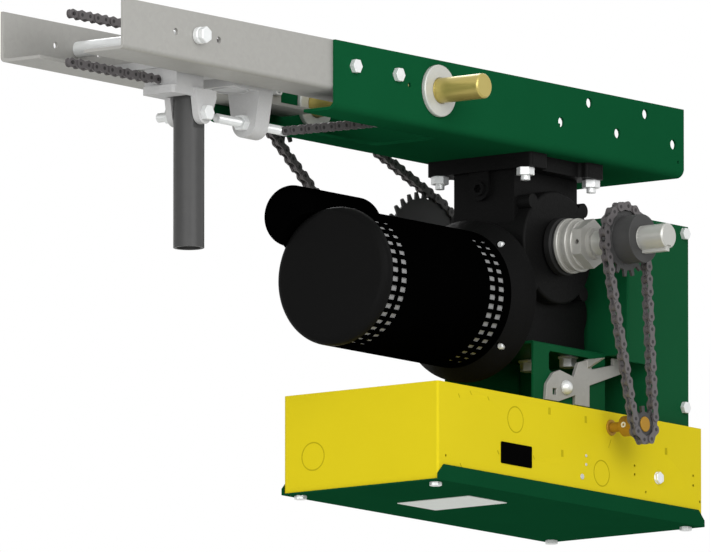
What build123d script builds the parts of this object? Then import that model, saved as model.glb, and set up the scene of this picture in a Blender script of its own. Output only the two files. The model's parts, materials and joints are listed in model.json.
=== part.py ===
from build123d import *
import math
import os

# Commercial trolley door operator, hung by its channel from a ceiling.
# Working frame: X along the track from the channel's track end, Y across (front is -Y),
# Z up from the channel's open top. All sizes in millimetres.

# Fits
running = 0.05
slip = 0.15
gap = 0.3

# Roller chain, half inch pitch
pitch = 12.7
roller_d = 7.77
inner_width = 3.4
roller_width = 3.3
plate_sheet = 1.1
plate_height = 9.8
plate_gap = 0.1
inner_plate_share = 0.82
inner_plate_trim = 1.0
sprocket_thick = 3.0
seat_clearance = 0.14
flank_angle = 20.0
tooth_addendum = 0.22

# Tooth and link counts
trolley_teeth = 12
driven_teeth = 16
drive_teeth = 34
limit_drive_teeth = 17
limit_teeth = 8
drive_links = 68
limit_links = 42
upper_links = 39
take_up_links = 18
front_links = 11

# Frame channel
channel_length = 586.0
channel_width = 159.5
channel_height = 70.0
channel_sheet = 3.0
channel_bend = 9.0
notch_length = 224.0
notch_width = 80.0
notch_corner = 12.0
hanger_pitch = 95.25
hanger_end = 18.0
hanger_low = 38.0
hanger_high = 12.6
hanger_hole_d = 10.3

# Track rails
rail_reach = 342.0
rail_lap = 112.0
rail_leg = 50.8
rail_lip = 49.2
rail_sheet = 3.2
rail_bend = 5.0
rail_bolt_d = 7.9
rail_bolt_drop = 23.5
rail_bolt_first = 31.0
rail_bolt_pitch = 71.0
rail_bolt_tail = 2.0
spacer_reach = 222.0
spacer_d = 16.0
splice_hole_d = 7.0
splice_offset = 35.0

# Hexagon heads for the frame bolts
bolt_head = 13.0
bolt_head_thick = 5.4

# Drive shaft and its bearings
shaft_x = 168.7
shaft_drop = 31.7
shaft_d = 25.4
shaft_chamfer = 1.5
shaft_front = 60.0
shaft_rear = 52.0
ring_groove = 1.3
ring_groove_deep = 0.8
bearing_flange_d = 52.4
bearing_flange_thick = 5.0
bearing_body_d = 40.0
bearing_depth = 18.0
trolley_hub_d = 34.0
trolley_hub_half = 16.0
driven_hub_d = 48.0
drive_chain_y = 115.0

# Gear reducer
output_drop = 160.0
centre_distance = 59.5
gear_flange_x = 124.0
gear_flange_y = 132.0
gear_flange_thick = 15.0
gear_flange_waist = 10.0
gear_flange_corner = 4.0
gear_stud_x = 111.0
gear_stud_y = 108.0
gear_stud_d = 9.5
gear_nut = 16.0
gear_nut_thick = 8.0
gear_stud_tail = 5.0
gear_neck_x = 106.0
gear_neck_y = 76.0
gear_drum_d = 115.0
gear_drum_half = 45.0
gear_cover_thick = 9.0
gear_cover_round = 3.0
gear_boss_d = 46.0
gear_boss_proud = 13.5
wheel_bore_d = 94.0
wheel_d = 88.0
wheel_half = 14.0
wheel_space = 4.0
rear_boss_wall = 3.0
rear_bush_lip = 4.0
wheel_teeth = 30
wheel_tooth = 4.0
tunnel_d = 80.0
tunnel_bore_d = 36.0
tunnel_front = 62.0
tunnel_rear = 65.0
gear_foot_half = 38.0
end_cap_d = 60.0
end_cap_flange = 76.0
end_cap_thick = 5.0
end_cap_spigot = 12.0
worm_d = 28.0
worm_root_d = 20.0
worm_half = 34.0
worm_turns = 7
worm_tail = 4.0
plug_y = 3.0
plug_drop = 102.0
plug_wide = 24.0
plug_proud = 5.0
plug_d = 15.0
plug_socket = 8.0
cover_lug_d = 15.0
cover_lug_r = 60.0
cover_lug_long = 22.0

# Output shaft stack, measured from the middle plane towards the front
output_d = 25.4
output_front = 193.0
output_rear = 128.0
key_seat_wide = 6.4
key_seat_deep = 3.0
clutch_disc_d = 56.0
clutch_disc_thick = 10.0
clutch_disc_count = 2
clutch_nut = 44.0
clutch_nut_thick = 11.0
clutch_disc_chamfer = 2.0
clutch_sleeve_d = 32.0
clutch_sleeve_long = 5.0
clutch_hole_d = 5.0
limit_chain_y = 137.5
limit_hub_d = 49.0
limit_hub_long = 23.5
drive_hub_d = 60.0
drive_hub_long = 26.0

# Motor
motor_d = 140.0
motor_wall = 2.5
motor_face_x = 97.0
motor_cap_depth = 11.5
motor_cap_round = 6.5
motor_spigot = 10.0
motor_flange_x = 334.0
motor_flange_d = 164.0
motor_flange_thick = 12.0
motor_flange_dish = 16.0
motor_flange_chamfer = 2.0
motor_hole_d = 8.0
motor_hole_r = 73.0
adapter_d = 104.0
stator_bore_d = 80.0
stator_front_x = 160.0
stator_long = 110.0
air_gap = 0.6
motor_shaft_d = 16.0
motor_bearing_d = 40.0
motor_bearing_wide = 12.0
cap_cover_d = 62.0
cap_cover_y = 53.0
cap_cover_rise = 65.5
cap_cover_x = 88.0
cap_cover_long = 134.0
cap_margin = 8.0
capacitor_d = 36.0

# Control box
box_x = 147.5
box_long = 445.5
box_wide = 193.4
box_top = 328.0
box_deep = 98.8
box_sheet = 1.5
box_corner = 2.5
box_lug_half = 8.0
box_lug_thick = 2.0
cover_lip = 15.0
cover_lip_cut = 10.0
cover_screw_inset = 12.0
cover_screw_d = 6.0
cover_screw_head = 11.0
cover_screw_thick = 4.0
cover_screw_long = 8.0
board_long = 160.0
board_wide = 120.0
board_thick = 1.6
board_inset = 20.0
standoff = 8.0
standoff_inset = 8.0
standoff_flats = 7.0
relay_high = 12.0
relays = ((30.0, -20.0, 22.0), (70.0, 20.0, 18.0), (110.0, -10.0, 26.0))
transformer_gap = 10.0
transformer_long = 56.0
transformer_wide = 50.0
transformer_high = 48.0
transformer_y = 37.0
coil_wide = 70.0
coil_inset = 8.0
contactor_gap = 27.5
contactor_long = 46.0
contactor_wide = 80.0
contactor_high = 50.0
contactor_y = 28.0
armature_inset = 6.0
armature_high = 18.0
terminal_inset = 125.5
terminal_long = 100.0
terminal_wide = 14.0
terminal_high = 18.0

# Limit switch drive, in the control box
limit_shaft_x = 438.0
limit_shaft_d = 10.0
limit_hub_front_d = 21.0
limit_hub_front_long = 20.0
limit_bush_d = 16.0
limit_bush_proud = 1.5
limit_bush_deep = 10.0
limit_nose_d = 15.6
limit_nose_proud = 1.0
limit_shaft_tail = 6.0
limit_bracket_y = 40.0
limit_bracket_sheet = 2.5
limit_bracket_half = 22.0
limit_bracket_drop = 44.0
switch_gap = 6.0
switch_half = 14.0
switch_high = 18.0
switch_front = 10.0
switch_back = 2.0
plunger_half = 3.0
switch_rail_half = 16.0
switch_rail_end = 12.0
limit_nut_d = 22.0
limit_nut_wide = 8.0
limit_nut_first = 62.0
limit_nut_second = 8.0

# Brackets between the reducer and the control box
bracket_x = 483.0
bracket_wide = 170.0
bracket_top = 121.0
bracket_sheet = 3.0
bracket_bend = 2.5
bracket_end = 586.0
bracket_step = 42.0
bracket_notch_top = 270.0
bracket_screw_d = 6.0
bracket_screw_head = 11.0
bracket_screw_thick = 4.5
bracket_screw_tail = 5.0
bracket_screw_inset = 8.0
bracket_screw_rise = 21.0
saddle_x = 362.0
saddle_wide = 112.0
saddle_leg = 26.0
saddle_rim = 8.0
saddle_bolt_x = 462.0
saddle_bolt_y = 25.0
saddle_washer_d = 16.0
saddle_washer_thick = 2.0

# Release lever, sizes taken from its pivot
lever_x = 410.0
lever_drop = 303.0
lever_sheet = 4.0
lever_eye = ((-33.0, -15.5), (-12.0, -15.5), (-9.0, 17.0), (-20.0, 13.0), (-31.0, 1.0))
lever_hole = 6.5
lever_hole_back = 18.0
lever_hole_drop = 6.0
lever_leg_near = 17.0
lever_leg_wide = 24.0
lever_leg_drop = 15.5
lever_tab_rise = 33.0
lever_tab_slope = 5.0
lever_arm_reach = 97.0
lever_arm_rise = 32.0
lever_arm_wide = 15.0
lever_hook_wide = 15.0
lever_hook_rise = 7.0
lever_wing = 20.0
lever_wing_high = 9.0
lever_pin_d = 8.0
lever_head_d = 15.0

# Trolley
trolley_half = 20.0
pivot_x = -141.0
pivot_drop = 86.0
pivot_d = 9.5
pivot_head = 14.0
pivot_head_thick = 6.4
pivot_tail = 18.0
ear_gap = 25.8
ear_round = 11.0
ear_front = 14.0
ear_back = 19.0
block_back = 41.0
block_front = 3.0
wing_half = 60.0
wing_thick = 7.5
shoe_thick = 3.8
shoe_in = 30.0
shoe_inset = 4.0
shoe_corner = 3.0
carriage_front = 185.0
carriage_rear = 25.0
lower_plate_front = 187.0
lower_plate_rear = 122.0
lower_plate_thick = 8.0
lower_plate_corner = 4.0
lower_plate_drop = 62.0
upper_plate_front = 90.0
upper_plate_rear = 23.0
upper_plate_drop = 52.0
plate_ring_d = 37.0
plate_ring_wall = 2.5
plate_ring_deep = 1.5
take_up_drop = 83.0
take_up_d = 9.4
take_up_tip = -91.0
take_up_nut = 14.5
take_up_nut_thick = 8.0
tab_front = 46.0
tab_rear = 24.0
tab_round = 14.5
lug_x = -190.0
lug_thick = 3.0
lug_high = 9.0

# Door arm
arm_d = 31.0
arm_wall = 3.2
arm_flat = 25.0
arm_end_drop = 220.0
arm_top_reach = 26.0
arm_flat_reach = 15.0
arm_y = -4.0
arm_plug = 8.0

# Derived places
inner_half = channel_width / 2 - channel_sheet
web_top = channel_sheet - channel_height
shaft_z = -shaft_drop
output_z = -output_drop
motor_z = output_z - centre_distance
lip_top = rail_sheet - rail_leg
rail_bolt_x = (rail_bolt_first, rail_bolt_first + rail_bolt_pitch)
capacitor_out = (motor_d / 2 + capacitor_d / 2 + slip) / math.hypot(cap_cover_y, cap_cover_rise)
capacitor_y = cap_cover_y * capacitor_out
capacitor_z = motor_z + cap_cover_rise * capacitor_out
box_top_z = -box_top
box_low_z = box_top_z - box_deep
pivot_z = -pivot_drop
lever_z = -lever_drop
motor_shell_x = motor_face_x + motor_cap_depth
motor_bearing_x = motor_shell_x + motor_spigot - motor_bearing_wide
motor_rear_x = motor_flange_x - motor_flange_thick - motor_flange_dish
saddle_top_z = motor_z - tunnel_d / 2
take_up_z = -take_up_drop
bracket_screw_z = (-bracket_top - bracket_screw_inset, box_top_z + bracket_screw_rise)
hanger_x = channel_length - hanger_end - hanger_pitch
hanger_z = -hanger_low
frame_origin = Vector(hanger_x, -channel_width / 2, hanger_z)


# Basic forms
def block(x0, x1, y0, y1, z0, z1):
    return Pos((x0 + x1) / 2, (y0 + y1) / 2, (z0 + z1) / 2) * Box(x1 - x0, y1 - y0, z1 - z0)


def rod_x(y, z, diameter, x0, x1):
    return Pos((x0 + x1) / 2, y, z) * Rot(0, 90, 0) * Cylinder(diameter / 2, x1 - x0)


def rod_y(x, z, diameter, y0, y1):
    return Pos(x, (y0 + y1) / 2, z) * Rot(90, 0, 0) * Cylinder(diameter / 2, y1 - y0)


def rod_z(x, y, diameter, z0, z1):
    return Pos(x, y, (z0 + z1) / 2) * Cylinder(diameter / 2, z1 - z0)


def slab_y(outline, y0, y1):
    face = Plane((0, y1, 0), x_dir=(1, 0, 0), z_dir=(0, -1, 0)) * outline
    return extrude(face, y1 - y0)


def slab_x(outline, x0, x1):
    face = Plane((x0, 0, 0), x_dir=(0, 1, 0), z_dir=(1, 0, 0)) * outline
    return extrude(face, x1 - x0)


def hexagon(across_flats):
    return RegularPolygon(across_flats / math.sqrt(3), 6)


def hex_x(y, z, across_flats, x0, x1):
    return slab_x(Pos(y, z) * hexagon(across_flats), x0, x1)


def hex_y(x, z, across_flats, y0, y1):
    return slab_y(Pos(x, z) * hexagon(across_flats), y0, y1)


def hex_z(x, y, across_flats, z0, z1):
    return Pos(x, y, z0) * extrude(hexagon(across_flats), z1 - z0)


def ring_groove_y(x, z, diameter, y):
    ring = rod_y(x, z, diameter + 2 * ring_groove, y - ring_groove, y)
    return ring - rod_y(x, z, diameter - 2 * ring_groove_deep, y - ring_groove, y)


def mirrored(solids):
    return solids + [mirror(solid, Plane.XZ) for solid in solids]


def bolt_y(x, z, diameter, head, head_thick, seat_y, tip_y, nut_y=None):
    way = math.copysign(1, tip_y - seat_y)
    low, high = sorted((seat_y, tip_y))
    bolt = rod_y(x, z, diameter, low, high)
    low, high = sorted((seat_y, seat_y - way * head_thick))
    bolt += hex_y(x, z, head, low, high)
    if nut_y is None:
        return [bolt]
    low, high = sorted((nut_y, nut_y + way * head_thick))
    nut = hex_y(x, z, head, low, high) - rod_y(x, z, diameter + 2 * slip, low, high)
    return [bolt, nut]


# Chain geometry
def pitch_radius(teeth):
    return pitch / 2 / math.sin(math.pi / teeth)


def tip_radius(teeth):
    return pitch / 2 * (2 * tooth_addendum + 1 / math.tan(math.pi / teeth))


def sprocket_disc(teeth, x, y, z, phase):
    radius = pitch_radius(teeth)
    depth = roller_d / 2 + seat_clearance
    rise = tip_radius(teeth) - radius
    slope = math.tan(math.radians(flank_angle))
    root = (depth - depth * math.sin(math.radians(flank_angle))) / math.cos(math.radians(flank_angle))
    mouth = root + (depth + rise) * slope
    points = []
    for tooth in range(teeth):
        angle = phase + tooth * 2 * math.pi / teeth
        for radial, across in ((rise, -mouth), (-depth, -root), (-depth, root), (rise, mouth)):
            px = (radius + radial) * math.cos(angle) - across * math.sin(angle)
            pz = (radius + radial) * math.sin(angle) + across * math.cos(angle)
            points.append((x + px, z + pz))
    return slab_y(Polygon(*points, align=None), y - sprocket_thick / 2, y + sprocket_thick / 2)


def loop_links(distance, teeth_a, teeth_b):
    lean = math.acos((pitch_radius(teeth_a) - pitch_radius(teeth_b)) / distance)
    return 2 * distance * math.sin(lean) / pitch + teeth_a * (1 - lean / math.pi) + teeth_b * lean / math.pi


def bisect(test, low, high):
    for _ in range(80):
        middle = (low + high) / 2
        if test(middle) > 0:
            high = middle
        else:
            low = middle
    return low


def loop_distance(links, teeth_a, teeth_b):
    shortest = pitch_radius(teeth_a) + pitch_radius(teeth_b)
    return bisect(lambda d: loop_links(d, teeth_a, teeth_b) - links, shortest, links * pitch)


def loop_pins(centre_a, teeth_a, centre_b, teeth_b, links):
    ax, az = centre_a
    bx, bz = centre_b
    distance = math.hypot(bx - ax, bz - az)
    heading = math.atan2(bz - az, bx - ax)
    radius_a = pitch_radius(teeth_a)
    radius_b = pitch_radius(teeth_b)
    lean = math.acos((radius_a - radius_b) / distance)
    run = distance * math.sin(lean) / pitch
    wrap_a = teeth_a * (1 - lean / math.pi)
    wrap_b = teeth_b * lean / math.pi
    pins = []
    phase_b = None
    for pin in range(links):
        way = pin
        if way <= wrap_a:
            angle = heading + lean + way * 2 * math.pi / teeth_a
            pins.append((ax + radius_a * math.cos(angle), az + radius_a * math.sin(angle)))
            continue
        way -= wrap_a
        side = heading - lean
        if way <= run:
            px = ax + radius_a * math.cos(side) - way * pitch * math.sin(side)
            pz = az + radius_a * math.sin(side) + way * pitch * math.cos(side)
            pins.append((px, pz))
            continue
        way -= run
        if way <= wrap_b:
            angle = side + way * 2 * math.pi / teeth_b
            phase_b = angle
            pins.append((bx + radius_b * math.cos(angle), bz + radius_b * math.sin(angle)))
            continue
        way -= wrap_b
        side = heading + lean
        px = bx + radius_b * math.cos(side) - way * pitch * math.sin(side)
        pz = bz + radius_b * math.sin(side) + way * pitch * math.cos(side)
        pins.append((px, pz))
    return pins, heading + lean, phase_b


def link_outline(reach):
    half = plate_height / 2
    flat = pitch / 2
    return Polygon(
        (-reach, 0), (-flat, -half), (flat, -half), (reach, 0), (flat, half), (-flat, half), align=None
    )


def chain(pins, y, closed, first_outer=True, bare_start=False, bare_end=False):
    outer_plate = slab_y(link_outline(pitch / 2 + plate_height / 2), -plate_sheet / 2, plate_sheet / 2)
    inner_plate = Box(
        2 * pitch - roller_d / 2 - inner_plate_trim, plate_sheet, plate_height * inner_plate_share
    )
    roller = slab_y(RegularPolygon(roller_d / 2, 6), -roller_width / 2, roller_width / 2)
    inner_y = inner_width / 2 + plate_sheet / 2
    outer_y = inner_width / 2 + plate_sheet + plate_gap + plate_sheet / 2
    solids = []
    for number, (px, pz) in enumerate(pins):
        last = number == len(pins) - 1
        if not (bare_start and number == 0) and not (bare_end and last):
            solids.append(Pos(px, y, pz) * roller)
        if last and not closed:
            break
        qx, qz = pins[(number + 1) % len(pins)]
        turn = -math.degrees(math.atan2(qz - pz, qx - px))
        outer = (number % 2 == 0) == first_outer
        plate = outer_plate if outer else inner_plate
        side = outer_y if outer else inner_y
        for across in (-side, side):
            solids.append(Pos((px + qx) / 2, y + across, (pz + qz) / 2) * Rot(0, turn, 0) * plate)
    return solids


# Shaft places that follow from the chains
cover_lug_angles = [math.radians(45 + 90 * quarter) for quarter in range(4)]
drive_distance = loop_distance(drive_links, drive_teeth, driven_teeth)
output_x = shaft_x + math.sqrt(drive_distance**2 - (shaft_z - output_z) ** 2)
limit_distance = loop_distance(limit_links, limit_drive_teeth, limit_teeth)
limit_z = output_z - math.sqrt(limit_distance**2 - (limit_shaft_x - output_x) ** 2)
drive_pins, drive_phase, driven_phase = loop_pins(
    (output_x, output_z), drive_teeth, (shaft_x, shaft_z), driven_teeth, drive_links
)
limit_pins, limit_drive_phase, limit_phase = loop_pins(
    (output_x, output_z), limit_drive_teeth, (limit_shaft_x, limit_z), limit_teeth, limit_links
)
trolley_radius = pitch_radius(trolley_teeth)
trolley_step = 2 * math.pi / trolley_teeth


def take_up_run(lean):
    return (take_up_links - (math.pi - lean) / trolley_step) * pitch


take_up_lean = bisect(
    lambda a: take_up_z - (shaft_z - trolley_radius * math.cos(a) - take_up_run(a) * math.sin(a)), 0, 0.6
)


def trolley_pin(number):
    if number <= 0:
        return (shaft_x + number * pitch, shaft_z + trolley_radius)
    swept = number * trolley_step
    if swept <= math.pi - take_up_lean:
        angle = math.pi / 2 - swept
        return (shaft_x + trolley_radius * math.cos(angle), shaft_z + trolley_radius * math.sin(angle))
    run = (number - (math.pi - take_up_lean) / trolley_step) * pitch
    px = shaft_x + trolley_radius * math.sin(take_up_lean) - run * math.cos(take_up_lean)
    pz = shaft_z - trolley_radius * math.cos(take_up_lean) - run * math.sin(take_up_lean)
    return (px, pz)


take_up_x, _ = trolley_pin(take_up_links)
front_chain_z = shaft_z - trolley_radius
wrap_pins = int((math.pi - take_up_lean) / trolley_step)
clutch_y = gear_drum_half + gear_cover_thick + gear_boss_proud + gap
nut_y = clutch_y + clutch_disc_count * clutch_disc_thick
chain_half = inner_width / 2 + 2 * plate_sheet + plate_gap


# Frame channel and track
def frame_channel():
    half = channel_width / 2
    body = block(0, channel_length, -half, half, -channel_height, 0)
    body = fillet(body.edges().filter_by(Axis.X).group_by(Axis.Z)[0], channel_bend)
    hollow = block(-1, channel_length + 1, -inner_half, inner_half, web_top, 1)
    hollow = fillet(hollow.edges().filter_by(Axis.X).group_by(Axis.Z)[0], channel_bend - channel_sheet)
    body -= hollow
    notch_half = notch_width / 2
    notch = block(-notch_corner, notch_length, -notch_half, notch_half, -channel_height - 1, web_top + 1)
    body -= fillet(notch.edges().filter_by(Axis.Z).group_by(Axis.X)[-1], notch_corner)
    across = (-half - 1, half + 1)
    for step in (-1, 0, 1):
        body -= rod_y(hanger_x + step * hanger_pitch, hanger_z, hanger_hole_d, *across)
    for step in (-0.5, 0.5):
        body -= rod_y(hanger_x + step * hanger_pitch, -hanger_high, hanger_hole_d, *across)
    body -= rod_y(shaft_x, shaft_z, bearing_body_d + 2 * slip, *across)
    for x in rail_bolt_x:
        body -= rod_y(x, -rail_bolt_drop, rail_bolt_d + 2 * slip, *across)
    for sx in (-0.5, 0.5):
        for sy in (-0.5, 0.5):
            stud = (output_x + sx * gear_stud_x, sy * gear_stud_y)
            body -= rod_z(*stud, gear_stud_d + 2 * slip, -channel_height - 1, web_top + 1)
    return [body]


def track_rail():
    leg = block(-rail_reach, rail_lap, inner_half - rail_sheet, inner_half, -rail_leg, 0)
    lip = block(-rail_reach, rail_lap, inner_half - rail_lip, inner_half, -rail_leg, lip_top)
    rail = leg + lip
    outer = rail.edges().filter_by(Axis.X).group_by(Axis.Z)[0].sort_by(Axis.Y)[-1]
    rail = fillet(outer, rail_bend)
    lip_edges = rail.edges().filter_by(Axis.X).filter_by_position(Axis.Z, lip_top - gap, lip_top + gap)
    rail = fillet(lip_edges.sort_by(Axis.Y)[-1], rail_bend - rail_sheet)
    across = (inner_half - rail_sheet - 1, inner_half + 1)
    for x in rail_bolt_x:
        rail -= rod_y(x, -rail_bolt_drop, rail_bolt_d + 2 * slip, *across)
    rail -= rod_y(-spacer_reach, -rail_bolt_drop, rail_bolt_d + 2 * slip, *across)
    for side in (-splice_offset, splice_offset):
        rail -= rod_y(-spacer_reach + side, -rail_bolt_drop, splice_hole_d, *across)
    return rail


def track_spacer():
    half = inner_half - rail_sheet
    tube = rod_y(-spacer_reach, -rail_bolt_drop, spacer_d, -half, half)
    return [tube - rod_y(-spacer_reach, -rail_bolt_drop, rail_bolt_d + 2 * slip, -half, half)]


def spacer_bolt():
    tip = inner_half + 2 * bolt_head_thick
    return bolt_y(
        -spacer_reach, -rail_bolt_drop, rail_bolt_d, bolt_head, bolt_head_thick, -inner_half, tip, inner_half
    )


def rail_bolts():
    solids = []
    seat = channel_width / 2
    nut = inner_half - rail_sheet
    for x in rail_bolt_x:
        tip = -nut + bolt_head_thick + rail_bolt_tail
        solids += bolt_y(x, -rail_bolt_drop, rail_bolt_d, bolt_head, bolt_head_thick, -seat, tip, -nut)
    return mirrored(solids)


# Drive shaft line
def flange_bearing(flange_y):
    ring = rod_y(shaft_x, shaft_z, bearing_flange_d, flange_y - bearing_flange_thick, flange_y)
    ring += rod_y(shaft_x, shaft_z, bearing_body_d, flange_y, flange_y + bearing_depth)
    bore = (flange_y - bearing_flange_thick, flange_y + bearing_depth)
    return ring - rod_y(shaft_x, shaft_z, shaft_d + 2 * running, *bore)


def drive_shaft():
    shaft = rod_y(shaft_x, shaft_z, shaft_d, -channel_width / 2 - shaft_front, channel_width / 2 + shaft_rear)
    shaft = chamfer(shaft.edges().filter_by(GeomType.CIRCLE), shaft_chamfer)
    return [shaft - ring_groove_y(shaft_x, shaft_z, shaft_d, -channel_width / 2 - bearing_flange_thick - gap)]


def trolley_sprocket():
    disc = sprocket_disc(trolley_teeth, shaft_x, 0, shaft_z, math.pi / 2)
    disc += rod_y(shaft_x, shaft_z, trolley_hub_d, -trolley_hub_half, trolley_hub_half)
    return [disc - rod_y(shaft_x, shaft_z, shaft_d + 2 * slip, -trolley_hub_half, trolley_hub_half)]


def driven_sprocket():
    start = inner_half + bearing_depth + gap
    disc = sprocket_disc(driven_teeth, shaft_x, drive_chain_y, shaft_z, driven_phase)
    disc += rod_y(shaft_x, shaft_z, driven_hub_d, start, drive_chain_y)
    return [disc - rod_y(shaft_x, shaft_z, shaft_d + 2 * slip, start, drive_chain_y + sprocket_thick)]


# Gear reducer
def gear_flange():
    top = web_top - channel_sheet
    half_x = gear_flange_x / 2
    half_y = gear_flange_y / 2
    plate = block(
        output_x - half_x, output_x + half_x, -half_y, half_y, top - gear_flange_thick, top
    )
    waist = (gear_flange_x - gear_stud_x) + gear_nut
    for side in (-1, 1):
        y0, y1 = sorted((side * (half_y - gear_flange_waist), side * (half_y + 1)))
        inside = half_x - waist
        plate -= block(output_x - inside, output_x + inside, y0, y1, top - channel_height, top)
    return fillet(plate.edges().filter_by(Axis.Z), gear_flange_corner)


def gear_housing():
    flange = gear_flange()
    top = web_top - channel_sheet - gear_flange_thick
    neck_x = gear_neck_x / 2
    neck_y = gear_neck_y / 2
    body = flange + block(output_x - neck_x, output_x + neck_x, -neck_y, neck_y, motor_z, top)
    body += rod_y(output_x, output_z, gear_drum_d, -gear_drum_half, gear_drum_half)
    tunnel = (output_x - tunnel_front, output_x + tunnel_rear)
    body += rod_x(0, motor_z, tunnel_d - 2 * gap, *tunnel)
    body += block(*tunnel, -gear_foot_half, gear_foot_half, saddle_top_z, motor_z)
    body -= rod_y(output_x, output_z, wheel_bore_d, -gear_drum_half, wheel_half + wheel_space)
    body -= rod_x(0, motor_z, tunnel_bore_d, *tunnel)
    body -= rod_y(output_x, output_z, gear_boss_d - 2 * rear_boss_wall, wheel_half, gear_drum_half)
    for sx in (-0.5, 0.5):
        for sy in (-0.5, 0.5):
            stud = (output_x + sx * gear_stud_x, sy * gear_stud_y)
            body -= rod_z(*stud, gear_stud_d + 2 * slip, top - 1, web_top)
    for angle in cover_lug_angles:
        lug_x = output_x + cover_lug_r * math.cos(angle)
        lug_z = output_z + cover_lug_r * math.sin(angle)
        body += rod_y(lug_x, lug_z, cover_lug_d, -gear_drum_half, cover_lug_long - gear_drum_half)
    face = output_x - neck_x
    boss = Pos(plug_y, -plug_drop) * Circle(plug_wide / 2) + Pos(plug_y, (top - plug_drop) / 2) * Rectangle(
        plug_wide, top + plug_drop
    )
    body += slab_x(boss, face - plug_proud, face)
    body += rod_x(plug_y, -plug_drop, plug_d, face - plug_proud - plug_proud / 2, face)
    body -= hex_x(plug_y, -plug_drop, plug_socket, face - 2 * plug_proud, face - plug_proud / 2)
    return [body]


def gear_cover():
    start = -gear_drum_half
    cover = rod_y(output_x, output_z, gear_drum_d, start - gear_cover_thick, start)
    cover = fillet(cover.edges().filter_by(GeomType.CIRCLE).group_by(Axis.Y)[0], gear_cover_round)
    for angle in cover_lug_angles:
        lug_x = output_x + cover_lug_r * math.cos(angle)
        lug_z = output_z + cover_lug_r * math.sin(angle)
        cover += rod_y(lug_x, lug_z, cover_lug_d, start - gear_cover_thick, start)
    boss_end = start - gear_cover_thick - gear_boss_proud
    cover += rod_y(output_x, output_z, gear_boss_d, boss_end, start)
    cover += rod_y(output_x, output_z, wheel_bore_d - 2 * slip, start, -wheel_half - wheel_space)
    return [cover - rod_y(output_x, output_z, output_d + 2 * running, boss_end, 0)]


def rear_bush():
    end = gear_drum_half + rear_bush_lip
    body_d = gear_boss_d - 2 * rear_boss_wall - 2 * slip
    bush = rod_y(output_x, output_z, body_d, wheel_half + wheel_space + gap, gear_drum_half)
    bush += rod_y(output_x, output_z, gear_boss_d, gear_drum_half, end)
    return [bush - rod_y(output_x, output_z, output_d + 2 * running, 0, end)]


def worm_end_cap():
    start = output_x + tunnel_rear
    cap = rod_x(0, motor_z, end_cap_flange, start, start + end_cap_thick)
    cap += rod_x(0, motor_z, end_cap_d, start, bracket_x)
    cap += rod_x(0, motor_z, tunnel_bore_d - 2 * slip, start - end_cap_spigot, start)
    bore = (start - end_cap_spigot, start + end_cap_thick)
    return [cap - rod_x(0, motor_z, motor_shaft_d + 2 * running, *bore)]


def gear_studs():
    solids = []
    top = web_top - channel_sheet - gear_flange_thick
    for sx in (-0.5, 0.5):
        for sy in (-0.5, 0.5):
            x = output_x + sx * gear_stud_x
            y = sy * gear_stud_y
            stud = rod_z(x, y, gear_stud_d, top - gear_nut_thick - gear_stud_tail, web_top)
            stud += hex_z(x, y, gear_nut, web_top, web_top + gear_nut_thick)
            nut = hex_z(x, y, gear_nut, top - gear_nut_thick, top)
            nut -= rod_z(x, y, gear_stud_d + 2 * slip, top - gear_nut_thick, top)
            solids += [stud, nut]
    return solids


def output_shaft():
    shaft = rod_y(output_x, output_z, output_d, -output_front, output_rear)
    shaft = chamfer(shaft.edges().filter_by(GeomType.CIRCLE), shaft_chamfer)
    hub_face = -limit_chain_y - limit_hub_long
    key_floor = output_z - output_d / 2 + key_seat_deep
    key_seat = block(output_x - key_seat_wide / 2, output_x + key_seat_wide / 2, -output_front - 1, hub_face,
                     output_z - output_d, key_floor)
    return [shaft - key_seat - ring_groove_y(output_x, output_z, output_d, hub_face - gap)]


def worm_wheel():
    points = []
    tip = wheel_d / 2
    root = tip - wheel_tooth
    for tooth in range(wheel_teeth):
        for share, radius in ((0.0, tip), (0.45, tip), (0.55, root), (0.9, root)):
            angle = (tooth + share) * 2 * math.pi / wheel_teeth
            points.append((output_x + radius * math.cos(angle), output_z + radius * math.sin(angle)))
    wheel = slab_y(Polygon(*points, align=None), -wheel_half, wheel_half)
    return [wheel - rod_y(output_x, output_z, output_d + 2 * slip, -wheel_half, wheel_half)]


def worm_shaft():
    end = output_x + tunnel_rear + worm_tail
    shaft = rod_x(0, motor_z, motor_shaft_d, motor_rear_x, end)
    groove = (worm_d - worm_root_d) / 2
    step = 2 * worm_half / worm_turns
    shaft += rod_x(0, motor_z, worm_root_d, output_x - worm_half, output_x + worm_half)
    for turn in range(worm_turns):
        x = output_x - worm_half + turn * step
        shaft += rod_x(0, motor_z, worm_root_d + 2 * groove, x, x + step / 2)
    return [shaft]


def clutch_discs():
    discs = []
    for number in range(clutch_disc_count):
        y = -clutch_y - number * clutch_disc_thick
        disc = rod_y(output_x, output_z, clutch_disc_d, y - clutch_disc_thick, y)
        disc = chamfer(disc.edges().filter_by(GeomType.CIRCLE), clutch_disc_chamfer)
        discs.append(disc - rod_y(output_x, output_z, output_d + 2 * slip, y - clutch_disc_thick, y))
    return discs


def clutch_nut_piece():
    end = -nut_y - clutch_nut_thick
    nut = slab_y(Pos(output_x, output_z) * Rot(0, 0, 30) * hexagon(clutch_nut), end, -nut_y)
    sleeve_end = end - clutch_sleeve_long
    nut += rod_y(output_x, output_z, clutch_sleeve_d, sleeve_end, end)
    nut -= rod_x((end - nut_y) / 2, output_z, clutch_hole_d, output_x - clutch_nut, output_x)
    return [nut - rod_y(output_x, output_z, output_d + 2 * slip, sleeve_end, -nut_y)]


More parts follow.
